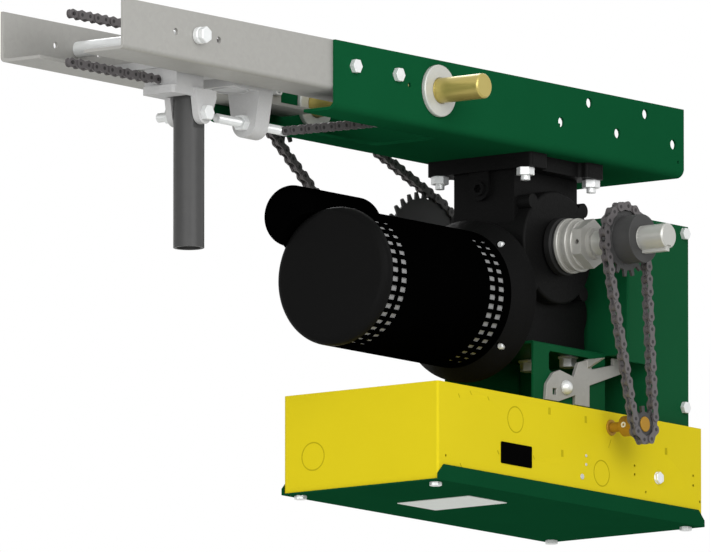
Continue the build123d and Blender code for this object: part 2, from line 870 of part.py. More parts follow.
def limit_drive_sprocket():
    disc = sprocket_disc(limit_drive_teeth, output_x, -limit_chain_y, output_z, limit_drive_phase)
    back = -limit_chain_y + chain_half + gap
    disc += rod_y(output_x, output_z, limit_hub_d, -limit_chain_y - limit_hub_long, -limit_chain_y)
    disc += rod_y(output_x, output_z, clutch_sleeve_d, -limit_chain_y, back)
    return [disc - rod_y(output_x, output_z, output_d + 2 * slip, -limit_chain_y - limit_hub_long, back)]


def drive_sprocket():
    start = drive_chain_y - drive_hub_long
    disc = sprocket_disc(drive_teeth, output_x, drive_chain_y, output_z, drive_phase)
    disc += rod_y(output_x, output_z, drive_hub_d, start, drive_chain_y)
    return [disc - rod_y(output_x, output_z, output_d + 2 * slip, start, output_rear)]


# Motor
def motor_flange():
    back = output_x - tunnel_front
    rim_x = motor_flange_x - motor_flange_thick
    ring = rod_x(0, motor_z, motor_flange_d, rim_x, motor_flange_x)
    ring = chamfer(ring.edges().filter_by(GeomType.CIRCLE).group_by(Axis.X)[-1], motor_flange_chamfer)
    ring += Pos((motor_rear_x + rim_x) / 2, 0, motor_z) * Rot(0, 90, 0) * Cone(
        motor_d / 2, motor_flange_d / 2, motor_flange_dish
    )
    ring += Pos((motor_flange_x + back) / 2, 0, motor_z) * Rot(0, 90, 0) * Cone(
        adapter_d / 2, tunnel_d / 2, back - motor_flange_x
    )
    for angle in cover_lug_angles:
        hole_y = motor_hole_r * math.cos(angle)
        hole_z = motor_z + motor_hole_r * math.sin(angle)
        ring -= rod_x(hole_y, hole_z, motor_hole_d, motor_rear_x, motor_flange_x)
    ring -= rod_x(0, motor_z, motor_bearing_d, motor_rear_x, motor_rear_x + motor_bearing_wide)
    return [ring - rod_x(0, motor_z, motor_shaft_d + 2 * gap, motor_rear_x, back)]


def motor_shell():
    tube = rod_x(0, motor_z, motor_d, motor_shell_x, motor_rear_x)
    return [tube - rod_x(0, motor_z, motor_d - 2 * motor_wall, motor_shell_x, motor_rear_x)]


def motor_end_cap():
    cap = rod_x(0, motor_z, motor_d, motor_face_x, motor_shell_x)
    cap = fillet(cap.edges().filter_by(GeomType.CIRCLE).group_by(Axis.X)[0], motor_cap_round)
    spigot_end = motor_shell_x + motor_spigot
    cap += rod_x(0, motor_z, motor_d - 2 * motor_wall - 2 * slip, motor_shell_x, spigot_end)
    return [cap - rod_x(0, motor_z, motor_bearing_d, motor_bearing_x, spigot_end)]


def motor_bearings():
    solids = []
    for start in (motor_bearing_x, motor_rear_x):
        end = start + motor_bearing_wide
        ring = rod_x(0, motor_z, motor_bearing_d - 2 * slip, start, end)
        solids.append(ring - rod_x(0, motor_z, motor_shaft_d + 2 * running, start, end))
    return solids


def motor_stator():
    end = stator_front_x + stator_long
    core = rod_x(0, motor_z, motor_d - 2 * motor_wall - 2 * slip, stator_front_x, end)
    return [core - rod_x(0, motor_z, stator_bore_d, stator_front_x, end)]


def motor_rotor():
    rotor = rod_x(0, motor_z, stator_bore_d - 2 * air_gap, stator_front_x, stator_front_x + stator_long)
    rotor += rod_x(0, motor_z, motor_shaft_d, motor_bearing_x + gap, motor_rear_x)
    return [rotor]


def capacitor_cover():
    y = cap_cover_y
    z = motor_z + cap_cover_rise
    end = cap_cover_x + cap_cover_long
    cover = rod_x(y, z, cap_cover_d, cap_cover_x, end)
    cover = fillet(cover.edges().filter_by(GeomType.CIRCLE), cap_cover_d / 4)
    saddle = math.hypot(cap_cover_y, cap_cover_rise)
    lean = math.degrees(math.atan2(cap_cover_rise, cap_cover_y))
    foot = Pos((cap_cover_x + end) / 2, 0, motor_z) * Rot(lean, 0, 0) * Pos(0, saddle * 0.8, 0) * Box(
        cap_cover_long - cap_cover_d / 2, saddle * 0.4, cap_cover_d * 0.86
    )
    cover += foot
    cover -= rod_x(0, motor_z, motor_d + 2 * running, cap_cover_x - 1, end + 1)
    ends = (cap_cover_x + cap_margin - slip, end - cap_margin + slip)
    return [cover - rod_x(capacitor_y, capacitor_z, capacitor_d + 2 * slip, *ends)]


def capacitor():
    ends = (cap_cover_x + cap_margin, cap_cover_x + cap_cover_long - cap_margin)
    return [rod_x(capacitor_y, capacitor_z, capacitor_d, *ends)]


# Brackets
def support_bracket():
    half = bracket_wide / 2
    high = -bracket_top
    shelf = saddle_top_z - bracket_sheet
    foot_x = bracket_x + bracket_step
    web = block(bracket_x, bracket_x + bracket_sheet, -half, half, shelf, high)
    side = block(bracket_x, bracket_end, half - bracket_sheet, half, box_top_z, high)
    bracket = web + side + mirror(side, Plane.XZ)
    corners = bracket.edges().filter_by(Axis.Z).group_by(Axis.X)[0].group_by(Axis.Y)
    bracket = fillet(corners[0] + corners[-1], bracket_bend)
    inside = half - bracket_sheet
    bracket += block(bracket_x, foot_x + bracket_sheet, -inside, inside, shelf, saddle_top_z)
    bracket += block(foot_x, foot_x + bracket_sheet, -inside, inside, box_top_z, saddle_top_z)
    bracket -= block(bracket_x - 1, foot_x, -half - 1, -inside, box_top_z - 1, -bracket_notch_top)
    bracket -= rod_x(0, motor_z, end_cap_d / 2, bracket_x - 1, bracket_x + bracket_sheet + 1)
    screw_x = bracket_end - bracket_screw_inset
    for z in bracket_screw_z:
        bracket -= rod_y(screw_x, z, bracket_screw_d + 2 * slip, -half - 1, half + 1)
    return [bracket]


def saddle_bracket():
    half = saddle_wide / 2
    plate = block(saddle_x, bracket_x, -half, half, saddle_top_z - bracket_sheet, saddle_top_z)
    side = block(saddle_x, bracket_x, half - bracket_sheet, half, box_top_z, saddle_top_z)
    window = block(saddle_x + saddle_leg, bracket_x - saddle_leg, half - bracket_sheet - 1, half + 1,
                   lever_z + lever_head_d, saddle_top_z - saddle_rim)
    front = mirror(side - fillet(window.edges().filter_by(Axis.Y), saddle_rim / 2), Plane.XZ)
    bracket = plate + side + front
    bracket = fillet(bracket.edges().filter_by(Axis.X).group_by(Axis.Z)[-1], bracket_sheet)
    return [bracket - rod_y(lever_x, lever_z, lever_pin_d + 2 * slip, -half - 1, 0)]


def saddle_bolts():
    solids = []
    seat = saddle_top_z - bracket_sheet
    for y in (-saddle_bolt_y, saddle_bolt_y):
        under = seat - saddle_washer_thick
        bolt = rod_z(saddle_bolt_x, y, saddle_washer_d, under, seat)
        solids.append(bolt + hex_z(saddle_bolt_x, y, bolt_head, under - bolt_head_thick, under))
    return solids


def bracket_screws():
    solids = []
    seat = bracket_wide / 2
    tip = -seat + bracket_sheet + bracket_screw_tail
    x = bracket_end - bracket_screw_inset
    for z in bracket_screw_z:
        solids += bolt_y(x, z, bracket_screw_d, bracket_screw_head, bracket_screw_thick, -seat, tip)
    return mirrored(solids)


# Release lever
def release_lever():
    y1 = -saddle_wide / 2 - gap
    y0 = y1 - lever_sheet
    near = lever_leg_near
    far = lever_leg_near + lever_leg_wide
    slope = lever_tab_slope
    eye_low, eye_in, eye_top, eye_high, eye_back = lever_eye
    outline = Polygon(
        eye_low, eye_in, (near, -lever_hole_drop), (near, -lever_leg_drop), (far, -lever_leg_drop),
        (far, lever_hole), (near - slope, 2 * lever_hole), eye_top, eye_high, eye_back, align=None
    )
    outline += Polygon(
        (far, lever_hole), (far + slope, lever_hole + lever_arm_wide), (far, lever_tab_rise),
        (near + slope, lever_tab_rise - slope), (near - slope, lever_hole), align=None
    )
    tip = lever_arm_reach
    tip_low = lever_arm_rise - lever_hook_rise
    tip_high = lever_arm_rise + lever_hook_rise
    outline += Polygon(
        (far - slope, lever_hole), (far, lever_hole), (tip, tip_low), (tip, tip_high),
        (tip - lever_hook_wide, tip_high), (tip - lever_hook_wide, lever_arm_rise),
        (far - slope, lever_hole + lever_arm_wide), align=None
    )
    plate = slab_y(Pos(lever_x, lever_z) * outline, y0, y1)
    high = lever_z + lever_tab_rise
    low = high - lever_wing_high
    wing = Polygon((y0 - lever_wing, high), (y0, low), (y1, low), (y1, high), align=None)
    plate += slab_x(wing, lever_x + far - lever_sheet, lever_x + far)
    hole_x = lever_x - lever_hole_back
    hole_z = lever_z - lever_hole_drop
    plate -= Pos(hole_x, (y0 + y1) / 2, hole_z) * Box(lever_hole, lever_sheet + 1, lever_hole)
    return [plate - rod_y(lever_x, lever_z, lever_pin_d + 2 * running, y0, y1)]


def lever_pivot():
    seat = -saddle_wide / 2 - 2 * gap - lever_sheet
    inside = -saddle_wide / 2 + bracket_sheet
    tip = inside + bolt_head_thick + running
    head = Pos(lever_x, seat, lever_z) * Sphere(lever_head_d / 2)
    head &= block(lever_x - lever_head_d, lever_x + lever_head_d, seat - lever_head_d, seat,
                  lever_z - lever_head_d, lever_z + lever_head_d)
    pin = rod_y(lever_x, lever_z, lever_pin_d, seat, tip)
    nut = hex_y(lever_x, lever_z, bolt_head, inside, inside + bolt_head_thick)
    nut -= rod_y(lever_x, lever_z, lever_pin_d + 2 * slip, inside, tip)
    return [pin + head, nut]


# Control box
def control_box():
    half = box_wide / 2
    shell = block(box_x, box_x + box_long, -half, half, box_low_z, box_top_z)
    shell = fillet(shell.edges().filter_by(Axis.Z), box_corner)
    shell -= block(
        box_x + box_sheet, box_x + box_long - box_sheet, -half + box_sheet, half - box_sheet,
        box_low_z - 1, box_top_z - box_sheet
    )
    shell -= rod_y(limit_shaft_x, limit_z, limit_bush_d + 2 * slip, -half - 1, -half + box_sheet + 1)
    for x in (box_x + cover_screw_inset, box_x + box_long - cover_screw_inset):
        for side in (-1, 1):
            y = side * (half - cover_screw_inset)
            across = sorted((y - side * box_lug_half, side * half))
            lug = block(x - box_lug_half, x + box_lug_half, *across, box_low_z, box_low_z + box_lug_thick)
            shell += lug - rod_z(x, y, cover_screw_d + 2 * slip, box_low_z - 1, box_low_z + box_lug_thick + 1)
    return [shell]


def box_cover():
    half = box_wide / 2 + gap
    start = box_x - gap - box_sheet
    end = box_x + box_long + gap + box_sheet
    high = box_low_z
    plate = block(start, end, -half - box_sheet, half + box_sheet, high - box_sheet, high)
    lip_outline = Polygon(
        (start, high - box_sheet), (end, high - box_sheet), (end, high + cover_lip - cover_lip_cut),
        (end - cover_lip_cut, high + cover_lip), (start + cover_lip_cut, high + cover_lip),
        (start, high + cover_lip - cover_lip_cut), align=None
    )
    lip = slab_y(lip_outline, half, half + box_sheet)
    cover = plate + lip + mirror(lip, Plane.XZ)
    for x in (box_x + cover_screw_inset, box_x + box_long - cover_screw_inset):
        for y in (cover_screw_inset - box_wide / 2, box_wide / 2 - cover_screw_inset):
            cover -= rod_z(x, y, cover_screw_d + 2 * slip, high - box_sheet - 1, high + 1)
    return [cover]


def cover_screws():
    solids = []
    seat = box_low_z - box_sheet
    for x in (box_x + cover_screw_inset, box_x + box_long - cover_screw_inset):
        for y in (cover_screw_inset - box_wide / 2, box_wide / 2 - cover_screw_inset):
            screw = rod_z(x, y, cover_screw_d, seat, seat + box_sheet + cover_screw_long)
            solids.append(screw + hex_z(x, y, cover_screw_head, seat - cover_screw_thick, seat))
    return solids


def control_board():
    top = box_top_z - box_sheet - standoff
    x = box_x + board_inset
    board = block(x, x + board_long, -board_wide / 2, board_wide / 2, top - board_thick, top)
    for px in (x + standoff_inset, x + board_long - standoff_inset):
        for py in (standoff_inset - board_wide / 2, board_wide / 2 - standoff_inset):
            board += hex_z(px, py, standoff_flats, top, top + standoff)
    under = top - board_thick
    for along, py, size in relays:
        board += block(x + along, x + along + size, py, py + size, under - relay_high, under)
    return [board]


def transformer():
    top = box_top_z - box_sheet
    x = box_x + board_inset + board_long + transformer_gap
    low = transformer_y - transformer_wide / 2
    core = block(x, x + transformer_long, low, low + transformer_wide, top - transformer_high, top)
    low = transformer_y - coil_wide / 2
    coil = block(x + coil_inset, x + transformer_long - coil_inset, low, low + coil_wide,
                 top - transformer_high + coil_inset, top - coil_inset)
    return [core + fillet(coil.edges().filter_by(Axis.Z), coil_inset / 2)]


def contactor():
    top = box_top_z - box_sheet
    x = limit_shaft_x + limit_bracket_half + contactor_gap
    low = contactor_y - contactor_wide / 2
    body = block(x, x + contactor_long, low, low + contactor_wide, top - contactor_high, top)
    face = top - contactor_high
    body += block(x + armature_inset, x + contactor_long - armature_inset, low + armature_high,
                  low + contactor_wide - armature_high, face - armature_high, face)
    return [body]


def terminal_strip():
    top = box_top_z - box_sheet
    x = box_x + box_long - terminal_inset
    edge = box_wide / 2 - box_sheet - coil_inset / 2
    return [block(x, x + terminal_long, edge - terminal_wide, edge, top - terminal_high, top)]


# Limit switch drive
def limit_bracket():
    top = box_top_z - box_sheet
    x0 = limit_shaft_x - limit_bracket_half
    x1 = limit_shaft_x + limit_bracket_half
    foot = block(x0, x1, -limit_bracket_y, limit_bracket_y, top - limit_bracket_sheet, top)
    wall = block(x0, x1, limit_bracket_y - limit_bracket_sheet, limit_bracket_y,
                 limit_z - limit_bracket_drop, top)
    wall -= rod_y(limit_shaft_x, limit_z, limit_shaft_d + 2 * running, 0, limit_bracket_y + 1)
    return [foot + wall]


def limit_bush():
    ends = (-box_wide / 2 - limit_bush_proud, -box_wide / 2 + limit_bush_deep)
    bush = rod_y(limit_shaft_x, limit_z, limit_bush_d, *ends)
    return [bush - rod_y(limit_shaft_x, limit_z, limit_shaft_d + 2 * running, *ends)]


def limit_shaft():
    return [rod_y(limit_shaft_x, limit_z, limit_shaft_d, -limit_chain_y, limit_bracket_y + limit_shaft_tail)]


def limit_sprocket():
    disc = sprocket_disc(limit_teeth, limit_shaft_x, -limit_chain_y, limit_z, limit_phase)
    bore = (-limit_chain_y - sprocket_thick, -limit_chain_y + sprocket_thick)
    return [disc - rod_y(limit_shaft_x, limit_z, limit_nose_d + 2 * slip, *bore)]


def limit_hub():
    start = -limit_chain_y + chain_half + gap
    end = start + limit_hub_front_long
    nose = -limit_chain_y - sprocket_thick / 2 - limit_nose_proud
    hub = rod_y(limit_shaft_x, limit_z, limit_hub_front_d, start, end)
    hub += rod_y(limit_shaft_x, limit_z, limit_nose_d, nose, start)
    return [hub - rod_y(limit_shaft_x, limit_z, limit_shaft_d + 2 * slip, -limit_chain_y - running, end)]


def limit_nuts():
    solids = []
    for y in (-limit_nut_first, -limit_nut_second):
        nut = rod_y(limit_shaft_x, limit_z, limit_nut_d, y - limit_nut_wide, y)
        nut -= rod_y(limit_shaft_x, limit_z, limit_shaft_d + 2 * running, y - limit_nut_wide, y)
        solids.append(nut)
    return solids


def limit_switches():
    x = limit_shaft_x
    top = limit_z - limit_nut_d / 2 - switch_gap
    low = top - switch_high
    solids = []
    for y in (-limit_nut_first, -limit_nut_second):
        switch = block(x - switch_half, x + switch_half, y - switch_front, y + switch_back, low, top)
        mid = y - (switch_front - switch_back) / 2
        switch += block(x - plunger_half, x + plunger_half, mid - plunger_half, mid + plunger_half,
                        top, top + plunger_half)
        solids.append(switch)
    rail = block(x - switch_rail_half, x + switch_rail_half, -limit_nut_first - switch_rail_end,
                 limit_bracket_y - limit_bracket_sheet, low - plunger_half, low)
    return solids + [rail]


# Trolley
def trolley_body():
    half = trolley_half
    wing_low = lip_top + gap + shoe_thick
    wing_high = wing_low + wing_thick
    body = block(-carriage_front, -carriage_rear, -wing_half, wing_half, wing_low, wing_high)
    body += block(pivot_x - block_back, pivot_x + block_front, -half, half, -lower_plate_drop, wing_low)
    body += block(-upper_plate_front, -upper_plate_rear, -half, half, -upper_plate_drop, wing_low)
    plate_low = -lower_plate_drop - lower_plate_thick
    lower = block(-lower_plate_front, -lower_plate_rear, -half, half, plate_low, -lower_plate_drop)
    body += fillet(lower.edges().filter_by(Axis.Z), lower_plate_corner)
    ear = make_hull(
        (Pos(pivot_x, pivot_z) * Circle(ear_round)).edges()
        + Polygon(
            (pivot_x - ear_front, plate_low), (pivot_x + ear_back, plate_low),
            (pivot_x + ear_back, -lower_plate_drop), (pivot_x - ear_front, -lower_plate_drop), align=None
        ).edges()
    )
    body += slab_y(ear, arm_y + ear_gap / 2, arm_y + half)
    body += slab_y(ear, arm_y - half, arm_y - ear_gap / 2)
    tab = make_hull(
        (Pos(0, take_up_z) * Circle(tab_round)).edges()
        + Polygon((-half, -upper_plate_drop), (half, -upper_plate_drop), (half, wing_low), (-half, wing_low),
                  align=None).edges()
    )
    body += slab_x(tab, -tab_front, -tab_rear)
    ring_x = -(upper_plate_front + tab_front) / 2
    ring = rod_z(ring_x, 0, plate_ring_d, -upper_plate_drop - plate_ring_deep, -upper_plate_drop)
    ring -= rod_z(ring_x, 0, plate_ring_d - 2 * plate_ring_wall, -channel_height, -upper_plate_drop)
    body += ring
    lug_end = lug_x - lug_high / 2
    body += block(lug_end, pivot_x - block_back, -lug_thick / 2, lug_thick / 2,
                  front_chain_z - lug_high / 2, front_chain_z + lug_high / 2)
    body -= rod_y(pivot_x, pivot_z, 2 * (arm_top_reach + gap), arm_y - ear_gap / 2, arm_y + ear_gap / 2)
    body -= rod_y(pivot_x, pivot_z, pivot_d + 2 * slip, arm_y - half - 1, arm_y + half + 1)
    body -= rod_x(0, take_up_z, take_up_d + 2 * slip, -tab_front - 1, -tab_rear + 1)
    return [body]


def trolley_shoes():
    low = lip_top + gap
    shoe = block(
        shoe_inset - carriage_front, -carriage_rear - shoe_inset, shoe_in, wing_half - shoe_inset / 2,
        low, low + shoe_thick
    )
    return mirrored([fillet(shoe.edges().filter_by(Axis.Z), shoe_corner)])


def take_up_rod():
    rod = rod_x(0, take_up_z, take_up_d, take_up_tip, take_up_x - lug_high)
    rod += block(take_up_x - lug_high - 2, take_up_x + lug_high / 2, -lug_thick / 2, lug_thick / 2,
                 take_up_z - lug_high / 2, take_up_z + lug_high / 2)
    return [rod]


def take_up_nuts():
    solids = []
    for x in (-tab_front - take_up_nut_thick, -tab_rear):
        nut = hex_x(0, take_up_z, take_up_nut, x, x + take_up_nut_thick)
        solids.append(nut - rod_x(0, take_up_z, take_up_d + 2 * slip, x, x + take_up_nut_thick))
    return solids


def pivot_bolt():
    seat = arm_y - trolley_half
    far = arm_y + trolley_half
    return bolt_y(pivot_x, pivot_z, pivot_d, pivot_head, pivot_head_thick, seat, far + pivot_tail, far)


def door_arm():
    top = pivot_z + arm_top_reach
    ends = (arm_y - arm_d, arm_y + arm_d)
    arm = rod_z(pivot_x, arm_y, arm_d, -arm_end_drop, top + 1)
    arm &= rod_y(pivot_x, pivot_z, 2 * arm_top_reach, *ends) + block(
        pivot_x - arm_d, pivot_x + arm_d, *ends, -arm_end_drop - 1, pivot_z
    )
    flat_low = pivot_z - arm_flat_reach
    for side in (-1, 1):
        y0, y1 = sorted((arm_y + side * arm_flat / 2, arm_y + side * arm_d))
        arm -= block(pivot_x - arm_d, pivot_x + arm_d, y0, y1, flat_low, top + 2)
    arm -= rod_z(pivot_x, arm_y, arm_d - 2 * arm_wall, -arm_end_drop - 1, flat_low - arm_plug)
    return [arm - rod_y(pivot_x, pivot_z, pivot_d + 2 * running, *ends)]


# Chains
def drive_chain():
    return chain(drive_pins, drive_chain_y, True)


def limit_chain():
    return chain(limit_pins, -limit_chain_y, True)


def trolley_chain_upper():
    pins = [trolley_pin(number) for number in range(-upper_links, wrap_pins + 1)]
    return chain(pins, 0, False, first_outer=False, bare_end=True)


def trolley_chain_rear():
    pins = [trolley_pin(number) for number in range(wrap_pins, take_up_links + 1)]
    return chain(pins, 0, False, first_outer=False, bare_end=True)


def trolley_chain_front():
    pins = [(lug_x - number * pitch, front_chain_z) for number in range(front_links + 1)]
    return chain(pins, 0, False, first_outer=False, bare_start=True)


rail = track_rail()
nodes = {
    "frame_channel": frame_channel(),
    "rail_rear": [rail],
    "rail_front": [mirror(rail, Plane.XZ)],
    "track_spacer": track_spacer(),
    "rail_bolts": rail_bolts() + spacer_bolt(),
    "bearing_front": [flange_bearing(-channel_width / 2)],
    "bearing_rear": [flange_bearing(inner_half)],
    "drive_shaft": drive_shaft(),
    "trolley_sprocket": trolley_sprocket(),
    "driven_sprocket": driven_sprocket(),
    "gear_housing": gear_housing(),
    "gear_cover": gear_cover(),
    "rear_bush": rear_bush(),
    "worm_end_cap": worm_end_cap(),
    "gear_studs": gear_studs(),
    "output_shaft": output_shaft(),
    "worm_wheel": worm_wheel(),
    "worm_shaft": worm_shaft(),
    "clutch_discs": clutch_discs(),
    "clutch_nut": clutch_nut_piece(),
    "limit_drive_sprocket": limit_drive_sprocket(),
    "drive_sprocket": drive_sprocket(),
    "motor_flange": motor_flange(),
    "motor_shell": motor_shell(),
    "motor_end_cap": motor_end_cap(),
    "motor_bearings": motor_bearings(),
    "motor_stator": motor_stator(),
    "motor_rotor": motor_rotor(),
    "capacitor_cover": capacitor_cover(),
    "capacitor": capacitor(),
    "support_bracket": support_bracket(),
    "saddle_bracket": saddle_bracket(),
    "bracket_screws": bracket_screws() + saddle_bolts(),
    "release_lever": release_lever(),
    "lever_pivot": lever_pivot(),
    "control_box": control_box(),
    "box_cover": box_cover(),
    "cover_screws": cover_screws(),
    "control_board": control_board(),
    "transformer": transformer(),
    "contactor": contactor(),
    "terminal_strip": terminal_strip(),
    "limit_bracket": limit_bracket(),
    "limit_bush": limit_bush(),
    "limit_shaft": limit_shaft(),
    "limit_sprocket": limit_sprocket(),
    "limit_hub": limit_hub(),
    "limit_nuts": limit_nuts(),
    "limit_switches": limit_switches(),
    "trolley_body": trolley_body(),
    "trolley_shoes": trolley_shoes(),
    "take_up_rod": take_up_rod(),
    "take_up_nuts": take_up_nuts(),
    "pivot_bolt": pivot_bolt(),
    "door_arm": door_arm(),
    "drive_chain": drive_chain(),
    "limit_chain": limit_chain(),
    "trolley_chain_upper": trolley_chain_upper(),
    "trolley_chain_rear": trolley_chain_rear(),
    "trolley_chain_front": trolley_chain_front(),
}

# The row's origin is the middle hole of the front hanger line, on the flange's outer face
home = Location(-frame_origin)
os.makedirs("parts", exist_ok=True)
for name, solids in nodes.items():
    pieces = [solid for shape in solids for solid in (home * shape).solids()]
    export_step(Compound(children=pieces), f"parts/{name}.step")
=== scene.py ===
import json
import math

import bmesh
import bpy
from mathutils import Matrix, Vector


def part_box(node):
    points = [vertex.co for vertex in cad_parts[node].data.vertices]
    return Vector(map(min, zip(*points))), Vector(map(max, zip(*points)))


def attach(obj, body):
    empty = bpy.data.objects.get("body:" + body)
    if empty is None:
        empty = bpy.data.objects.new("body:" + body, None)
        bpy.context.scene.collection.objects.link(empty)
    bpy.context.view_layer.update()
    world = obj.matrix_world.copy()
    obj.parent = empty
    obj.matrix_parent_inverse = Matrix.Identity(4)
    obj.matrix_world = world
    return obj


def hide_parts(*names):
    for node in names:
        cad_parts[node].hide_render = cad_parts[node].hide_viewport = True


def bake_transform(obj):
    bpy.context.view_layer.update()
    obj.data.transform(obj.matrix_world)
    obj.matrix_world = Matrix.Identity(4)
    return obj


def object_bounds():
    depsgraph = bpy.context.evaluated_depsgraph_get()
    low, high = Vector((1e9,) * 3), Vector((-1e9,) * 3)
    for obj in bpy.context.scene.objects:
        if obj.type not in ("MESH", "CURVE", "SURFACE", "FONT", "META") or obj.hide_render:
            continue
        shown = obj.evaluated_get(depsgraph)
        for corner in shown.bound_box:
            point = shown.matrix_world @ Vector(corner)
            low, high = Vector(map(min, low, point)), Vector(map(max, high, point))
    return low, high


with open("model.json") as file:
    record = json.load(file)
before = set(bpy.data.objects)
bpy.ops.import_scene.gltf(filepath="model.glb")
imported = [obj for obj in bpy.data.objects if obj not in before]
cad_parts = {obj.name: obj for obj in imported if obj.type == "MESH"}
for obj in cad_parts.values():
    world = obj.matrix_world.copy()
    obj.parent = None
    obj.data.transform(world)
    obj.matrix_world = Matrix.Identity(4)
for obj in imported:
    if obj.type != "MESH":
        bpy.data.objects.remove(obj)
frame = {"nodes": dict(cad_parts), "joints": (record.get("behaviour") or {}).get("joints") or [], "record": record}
cadLow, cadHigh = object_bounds()
nodes = frame["nodes"]
record = frame["record"]
scene = bpy.context.scene
mm = 0.001
bodyOf = {node: body for body, members in record["behaviour"]["bodies"].items() for node in members}
slotOf = {part["node"]: part["material_slot"] for part in record["subparts"]}
pivots = {joint["name"]: Vector(joint["pos_m"]) for joint in frame["joints"] if "pos_m" in joint}
channelLow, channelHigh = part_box("frame_channel")
midPlane = (channelLow.y + channelHigh.y) / 2
toLeft, toRight, toFront, toBack = (-1, 0, 0), (1, 0, 0), (0, -1, 0), (0, 1, 0)
up, down = (0, 0, 1), (0, 0, -1)
print("frame loaded:", len(nodes), "nodes")


# A place in mm: x from the channel's track end, y from the middle plane, z from the channel's open top
def at(x, y, z):
    return Vector((channelLow.x + x * mm, midPlane + y * mm, channelHigh.z + z * mm))


weld = {"turned": 0.0005, "cad": 0.001, "flat": 0.5}  # merge distances in mm, and degrees that count as flat


# Places and shapes, with sizes in mm
def axisMatrix(spot, axis):  # a place whose local Z runs along axis
    turn = Vector(up).rotation_difference(Vector(axis))
    return Matrix.Translation(spot) @ turn.to_matrix().to_4x4()


def onFace(faceY, x, z, behind=0.0):  # a place on a front face, or behind mm under it, local Z outward
    spot = at(x, 0, z)
    return axisMatrix((spot.x, faceY + behind * mm, spot.z), toFront)


def moveTo(bm, matrix):
    bmesh.ops.transform(bm, verts=bm.verts, matrix=matrix)
    return bm


def bevelEdges(bm, edges, offset, segments):
    bmesh.ops.bevel(bm, geom=edges, offset=offset * mm, segments=segments, profile=0.5, affect="EDGES",
                    material=-1)


def lathe(profile, segments):  # a profile of (along, radius), turned about local Z
    bm = bmesh.new()
    ring = [bm.verts.new((radius * mm, 0, along * mm)) for along, radius in profile]
    edges = [bm.edges.new(pair) for pair in zip(ring, ring[1:])]
    bmesh.ops.spin(bm, geom=ring + edges, cent=(0, 0, 0), axis=(0, 0, 1), angle=math.tau,
                   steps=segments, use_merge=True)
    bmesh.ops.remove_doubles(bm, verts=bm.verts, dist=weld["turned"] * mm)
    bmesh.ops.recalc_face_normals(bm, faces=bm.faces)
    return bm


def prism(radius, depth, sides):  # a closed round or many-sided bar along local Z, from 0 to depth
    bm = bmesh.new()
    bmesh.ops.create_cone(bm, cap_ends=True, segments=sides, radius1=radius * mm, radius2=radius * mm,
                          depth=depth * mm, matrix=Matrix.Translation((0, 0, depth * mm / 2)))
    return bm


def hexHead(flats, depth):  # flats is the width across them
    return prism(flats / math.sqrt(3), depth, sides=6)


def slab(long, wide, thick, corner=0.0):  # a flat plate on local XY, from 0 to thick, corners rounded
    bm = bmesh.new()
    bmesh.ops.create_cube(bm, size=1, matrix=Matrix.Translation((0, 0, thick * mm / 2))
                          @ Matrix.Diagonal((long * mm, wide * mm, thick * mm, 1)))
    if corner:
        upright = [edge for edge in bm.edges
                   if abs(edge.verts[0].co.z - edge.verts[1].co.z) > thick * mm / 2]
        bevelEdges(bm, upright, corner, segments=5)
    return bm


def asMesh(bm, name="template"):
    mesh = bpy.data.meshes.new(name)
    bm.to_mesh(mesh)
    bm.free()
    return mesh


def stamp(bm, template, matrix):  # a copy of the template joins the shape
    placed = template.copy()
    placed.transform(matrix)
    bm.from_mesh(placed)
    bpy.data.meshes.remove(placed)


def joinInto(bm, part, matrix):  # a part that is used once joins the shape
    mesh = asMesh(part)
    stamp(bm, mesh, matrix)
    bpy.data.meshes.remove(mesh)


# Pieces
edgeStyle = {"sharp": 35, "bevelFrom": 40, "segments": 2}  # angles in degrees


def shadeSmooth(mesh, sharp):
    mesh.shade_smooth()
    mesh.set_sharp_from_angle(angle=math.radians(sharp))


def addPiece(name, bm, materials, body, replaced=(), sharp=edgeStyle["sharp"]):
    mesh = asMesh(bm, name)
    for material in materials:
        mesh.materials.append(material)
    shadeSmooth(mesh, sharp)
    piece = bpy.data.objects.new(name, mesh)
    scene.collection.objects.link(piece)
    if body:
        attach(piece, body)
    if replaced:
        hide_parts(*replaced)
    return piece


def flatFaces(piece):  # large faces keep their own normals, so flat sheet shades flat up to its bends
    weighted = piece.modifiers.new("flatFaces", "WEIGHTED_NORMAL")
    weighted.keep_sharp = True
    weighted.weight = 100
    return piece


def roundEdges(piece, width):
    bevel = piece.modifiers.new("roundEdges", "BEVEL")
    bevel.width = width * mm
    bevel.segments = edgeStyle["segments"]
    bevel.limit_method = "ANGLE"
    bevel.angle_limit = math.radians(edgeStyle["bevelFrom"])
    bevel.profile = 0.5
    bevel.use_clamp_overlap = True
    return flatFaces(piece)


def cutAway(piece, cutter):  # holes through a sheet and grooves in it
    tool = bpy.data.objects.new("cutter", asMesh(cutter, "cutter"))
    scene.collection.objects.link(tool)
    change = piece.modifiers.new("cut", "BOOLEAN")
    change.object = tool
    change.solver = "EXACT"
    bpy.context.view_layer.update()
    result = bpy.data.meshes.new_from_object(piece.evaluated_get(bpy.context.evaluated_depsgraph_get()))
    piece.modifiers.remove(change)
    old = piece.data
    piece.data = result
    bpy.data.meshes.remove(old)
    bpy.data.objects.remove(tool)
    shadeSmooth(result, edgeStyle["sharp"])


def camelCase(node):  # a piece's name from its node's
    first, *others = node.split("_")
    return first + "".join(word.capitalize() for word in others)


